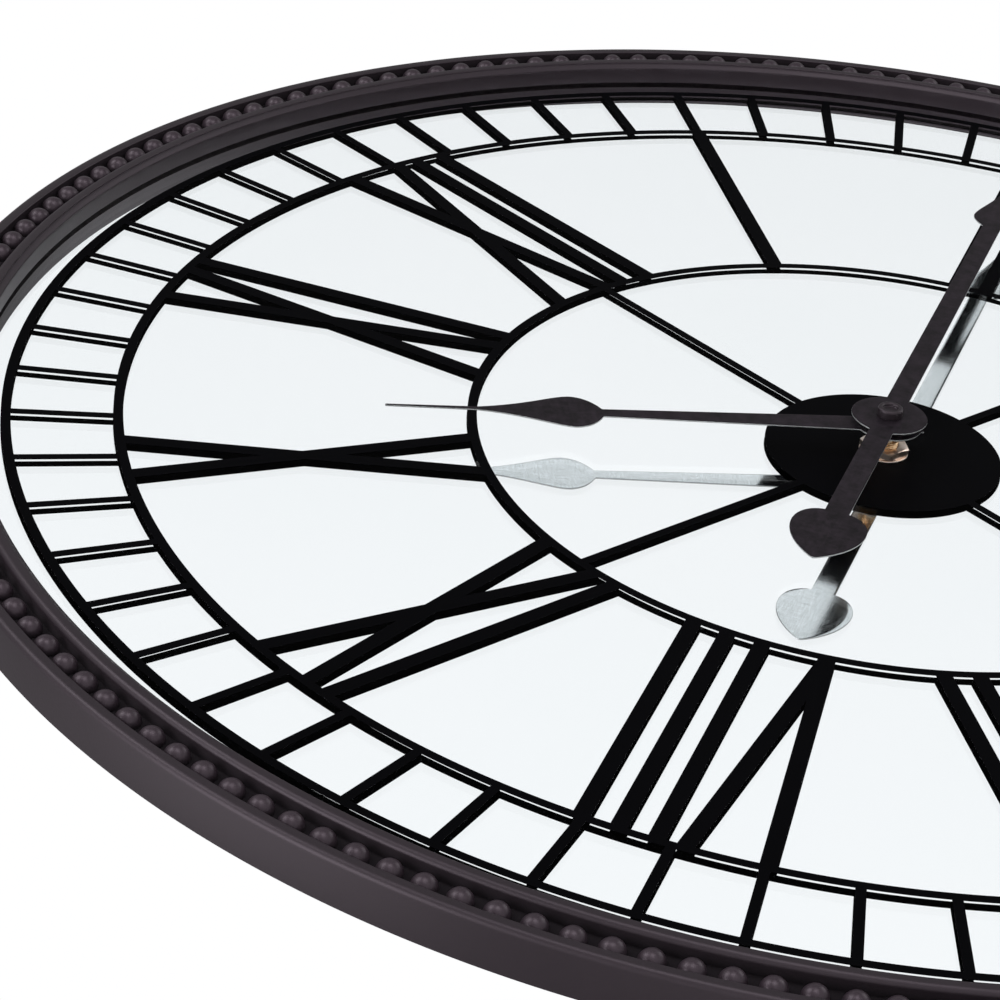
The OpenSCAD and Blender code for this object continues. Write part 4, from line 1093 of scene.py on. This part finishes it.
def ease_edges(node, width):
    """Joins the triangles, then cuts every edge sharper than 40 degrees by a rounded bevel, width in mm."""
    weld = node.modifiers.new("joined", "WELD")
    weld.merge_threshold = 0.001 * MM
    ease = node.modifiers.new("eased", "BEVEL")
    ease.width, ease.segments = width * MM, 2
    ease.limit_method, ease.angle_limit = "ANGLE", math.radians(40)
    ease.harden_normals = True


subparts = frame["record"]["subparts"]
for part in subparts:
    node = frame["nodes"][part["node"]]
    finish = FINISHES[part["material_slot"]]
    if not node.data.materials:
        node.data.materials.append(finish)
    for place in range(len(node.data.materials)):
        node.data.materials[place] = finish
    if part["node"] in EASED:
        ease_edges(node, EASED[part["node"]])
print("finishes on", len(subparts), "exact pieces, soft edges on", len(EASED))

# %% [markdown]
# ## The camera
# The clock is seen from its lower left, from 1.4 metres away. The lens is long, so that near and
# far beads differ little in size. The camera is placed by three directions: where it looks, what
# is up, and their cross product, which is to its right. The matrix takes right, up and the way
# back, which is the looking direction with its sign turned, as its first three columns. The place
# is the last column.

# %% Camera
STANDS_AT = Vector((-0.9428, -0.6623, -1.0038))
LOOKS = Vector((0.62187547, 0.4903459, 0.61059954))
HOLDS_UP = Vector((0.25908397, -0.8646213, 0.43047125))
camera_data = bpy.data.cameras.new("camera")
camera_data.sensor_width, camera_data.lens = 36.0, 134.84
camera_data.shift_x, camera_data.shift_y = -0.0359, 0.0017
camera_data.clip_start, camera_data.clip_end = 0.05, 60.0
camera = bpy.data.objects.new("camera", camera_data)
bpy.context.scene.collection.objects.link(camera)
look = LOOKS.normalized()
right = look.cross(HOLDS_UP.normalized()).normalized()
up = right.cross(look).normalized()
camera.matrix_world = Matrix(((right.x, up.x, -look.x, STANDS_AT.x), (right.y, up.y, -look.y, STANDS_AT.y),
                              (right.z, up.z, -look.z, STANDS_AT.z), (0, 0, 0, 1)))
bpy.context.scene.camera = camera
bpy.context.scene.view_settings.view_transform = "Standard"
print("the camera stands", round((STANDS_AT - Vector((DIAL_X, 0, DIAL_Z))).length, 2), "m from the dial's centre")

# %% [markdown]
# ## Light and surroundings
# A mirror shows the room, so the room is what makes it read: white, even and bright. The world
# is white where it is seen directly or in the silver, whose rays have passed through the glass. It
# is darker in lacquer and metal, nearly black in the bare face of the pane, which would veil the
# print, and dim where it only lights things, so that the lamps can draw soft highlights. Later
# kinds of ray in the list win over earlier ones. The lamps are hidden from rays through the glass,
# or their square edges would show in the mirror.

# %% The world: one grey for each kind of ray
LIGHTING = (0.2, 0.2, 0.2, 1)
SEEN_AS = {"Is Glossy Ray": 0.35, "Is Singular Ray": 0.02, "Is Transmission Ray": 1.0, "Is Camera Ray": 1.0}
world = bpy.data.worlds.new("studio")
bpy.context.scene.world = world
world.use_nodes = True
sky = Bench(world.node_tree)
shade = LIGHTING
for kind, level in SEEN_AS.items():
    shade = sky.blend(sky.ray_is(kind), shade, (level, level, level * 1.01, 1))
sky.feed(world.node_tree.nodes["Background"].inputs["Color"], shade)
print("the world lights at", LIGHTING[0], "and is seen at", SEEN_AS["Is Camera Ray"])

# %% Lamps: place, size in metres, power in watts
def lamp(name, place, aim, size, power):
    """A soft square lamp that looks at a point and doesn't show in the mirror."""
    data = bpy.data.lights.new(name, "AREA")
    data.shape, data.size, data.energy = "SQUARE", size, power
    made = bpy.data.objects.new(name, data)
    bpy.context.scene.collection.objects.link(made)
    made.location = place
    made.visible_transmission = False
    made.rotation_mode = "QUATERNION"
    made.rotation_quaternion = (Vector(aim) - Vector(place)).to_track_quat("-Z", "Y")


LAMPS = {
    "key": ((-1.2, -2.2, 1.6), 1.4, 32),
    "front": ((-0.3, -2.8, -0.4), 1.4, 28),
    "side": ((-2.6, -0.6, 0.3), 1.6, 46),
    "low side": ((-2.3, 0.9, 0.5), 1.6, 12),
    "fill": ((2.4, -1.6, -0.5), 1.4, 12),
    "rear": ((0.8, 2.2, 1.0), 1.6, 30),
}
for name, (place, size, power) in LAMPS.items():
    lamp(name, place, (0.0, 0.0, DIAL_Z), size, power)
print(len(LAMPS), "lamps,", sum(power for _, _, power in LAMPS.values()), "W in all")

# %% The floor
FLOOR_Z, FLOOR_HALF = -1.35, 12.0
GLOW, NO_GLOW = (0.66, 0.66, 0.66, 1), (0, 0, 0, 1)
GLOW_IN_POLISH = 0.2


def pale_paint():
    """Pale grey paint. A glow is added to the light it gets where it is seen or mirrored, so its shadows stay."""
    f = Finish("pale_floor")
    seen = f.ray_is("Is Camera Ray") + f.ray_is("Is Transmission Ray") + f.ray_is("Is Glossy Ray") * GLOW_IN_POLISH
    f.set(Base_Color=f.blend(f.noise(4.0), rgb(236, 236, 236), rgb(240, 240, 240)), Roughness=0.8,
          Emission_Color=f.blend(seen.clamp(), NO_GLOW, GLOW), Emission_Strength=1.0)
    return f.material


sides = FLOOR_HALF * np.array([(-1, -1), (1, -1), (1, 1), (-1, 1)])
floor_mesh = bpy.data.meshes.new("floor")
floor_mesh.from_pydata([(x, y, FLOOR_Z) for x, y in sides.tolist()], [], [(0, 1, 2, 3)])
floor_mesh.materials.append(pale_paint())
floor = bpy.data.objects.new("floor", floor_mesh)
bpy.context.scene.collection.objects.link(floor)
print("the floor lies", round(DIAL_Z - FLOOR_Z, 2), "m below the dial's centre")

# %% [markdown]
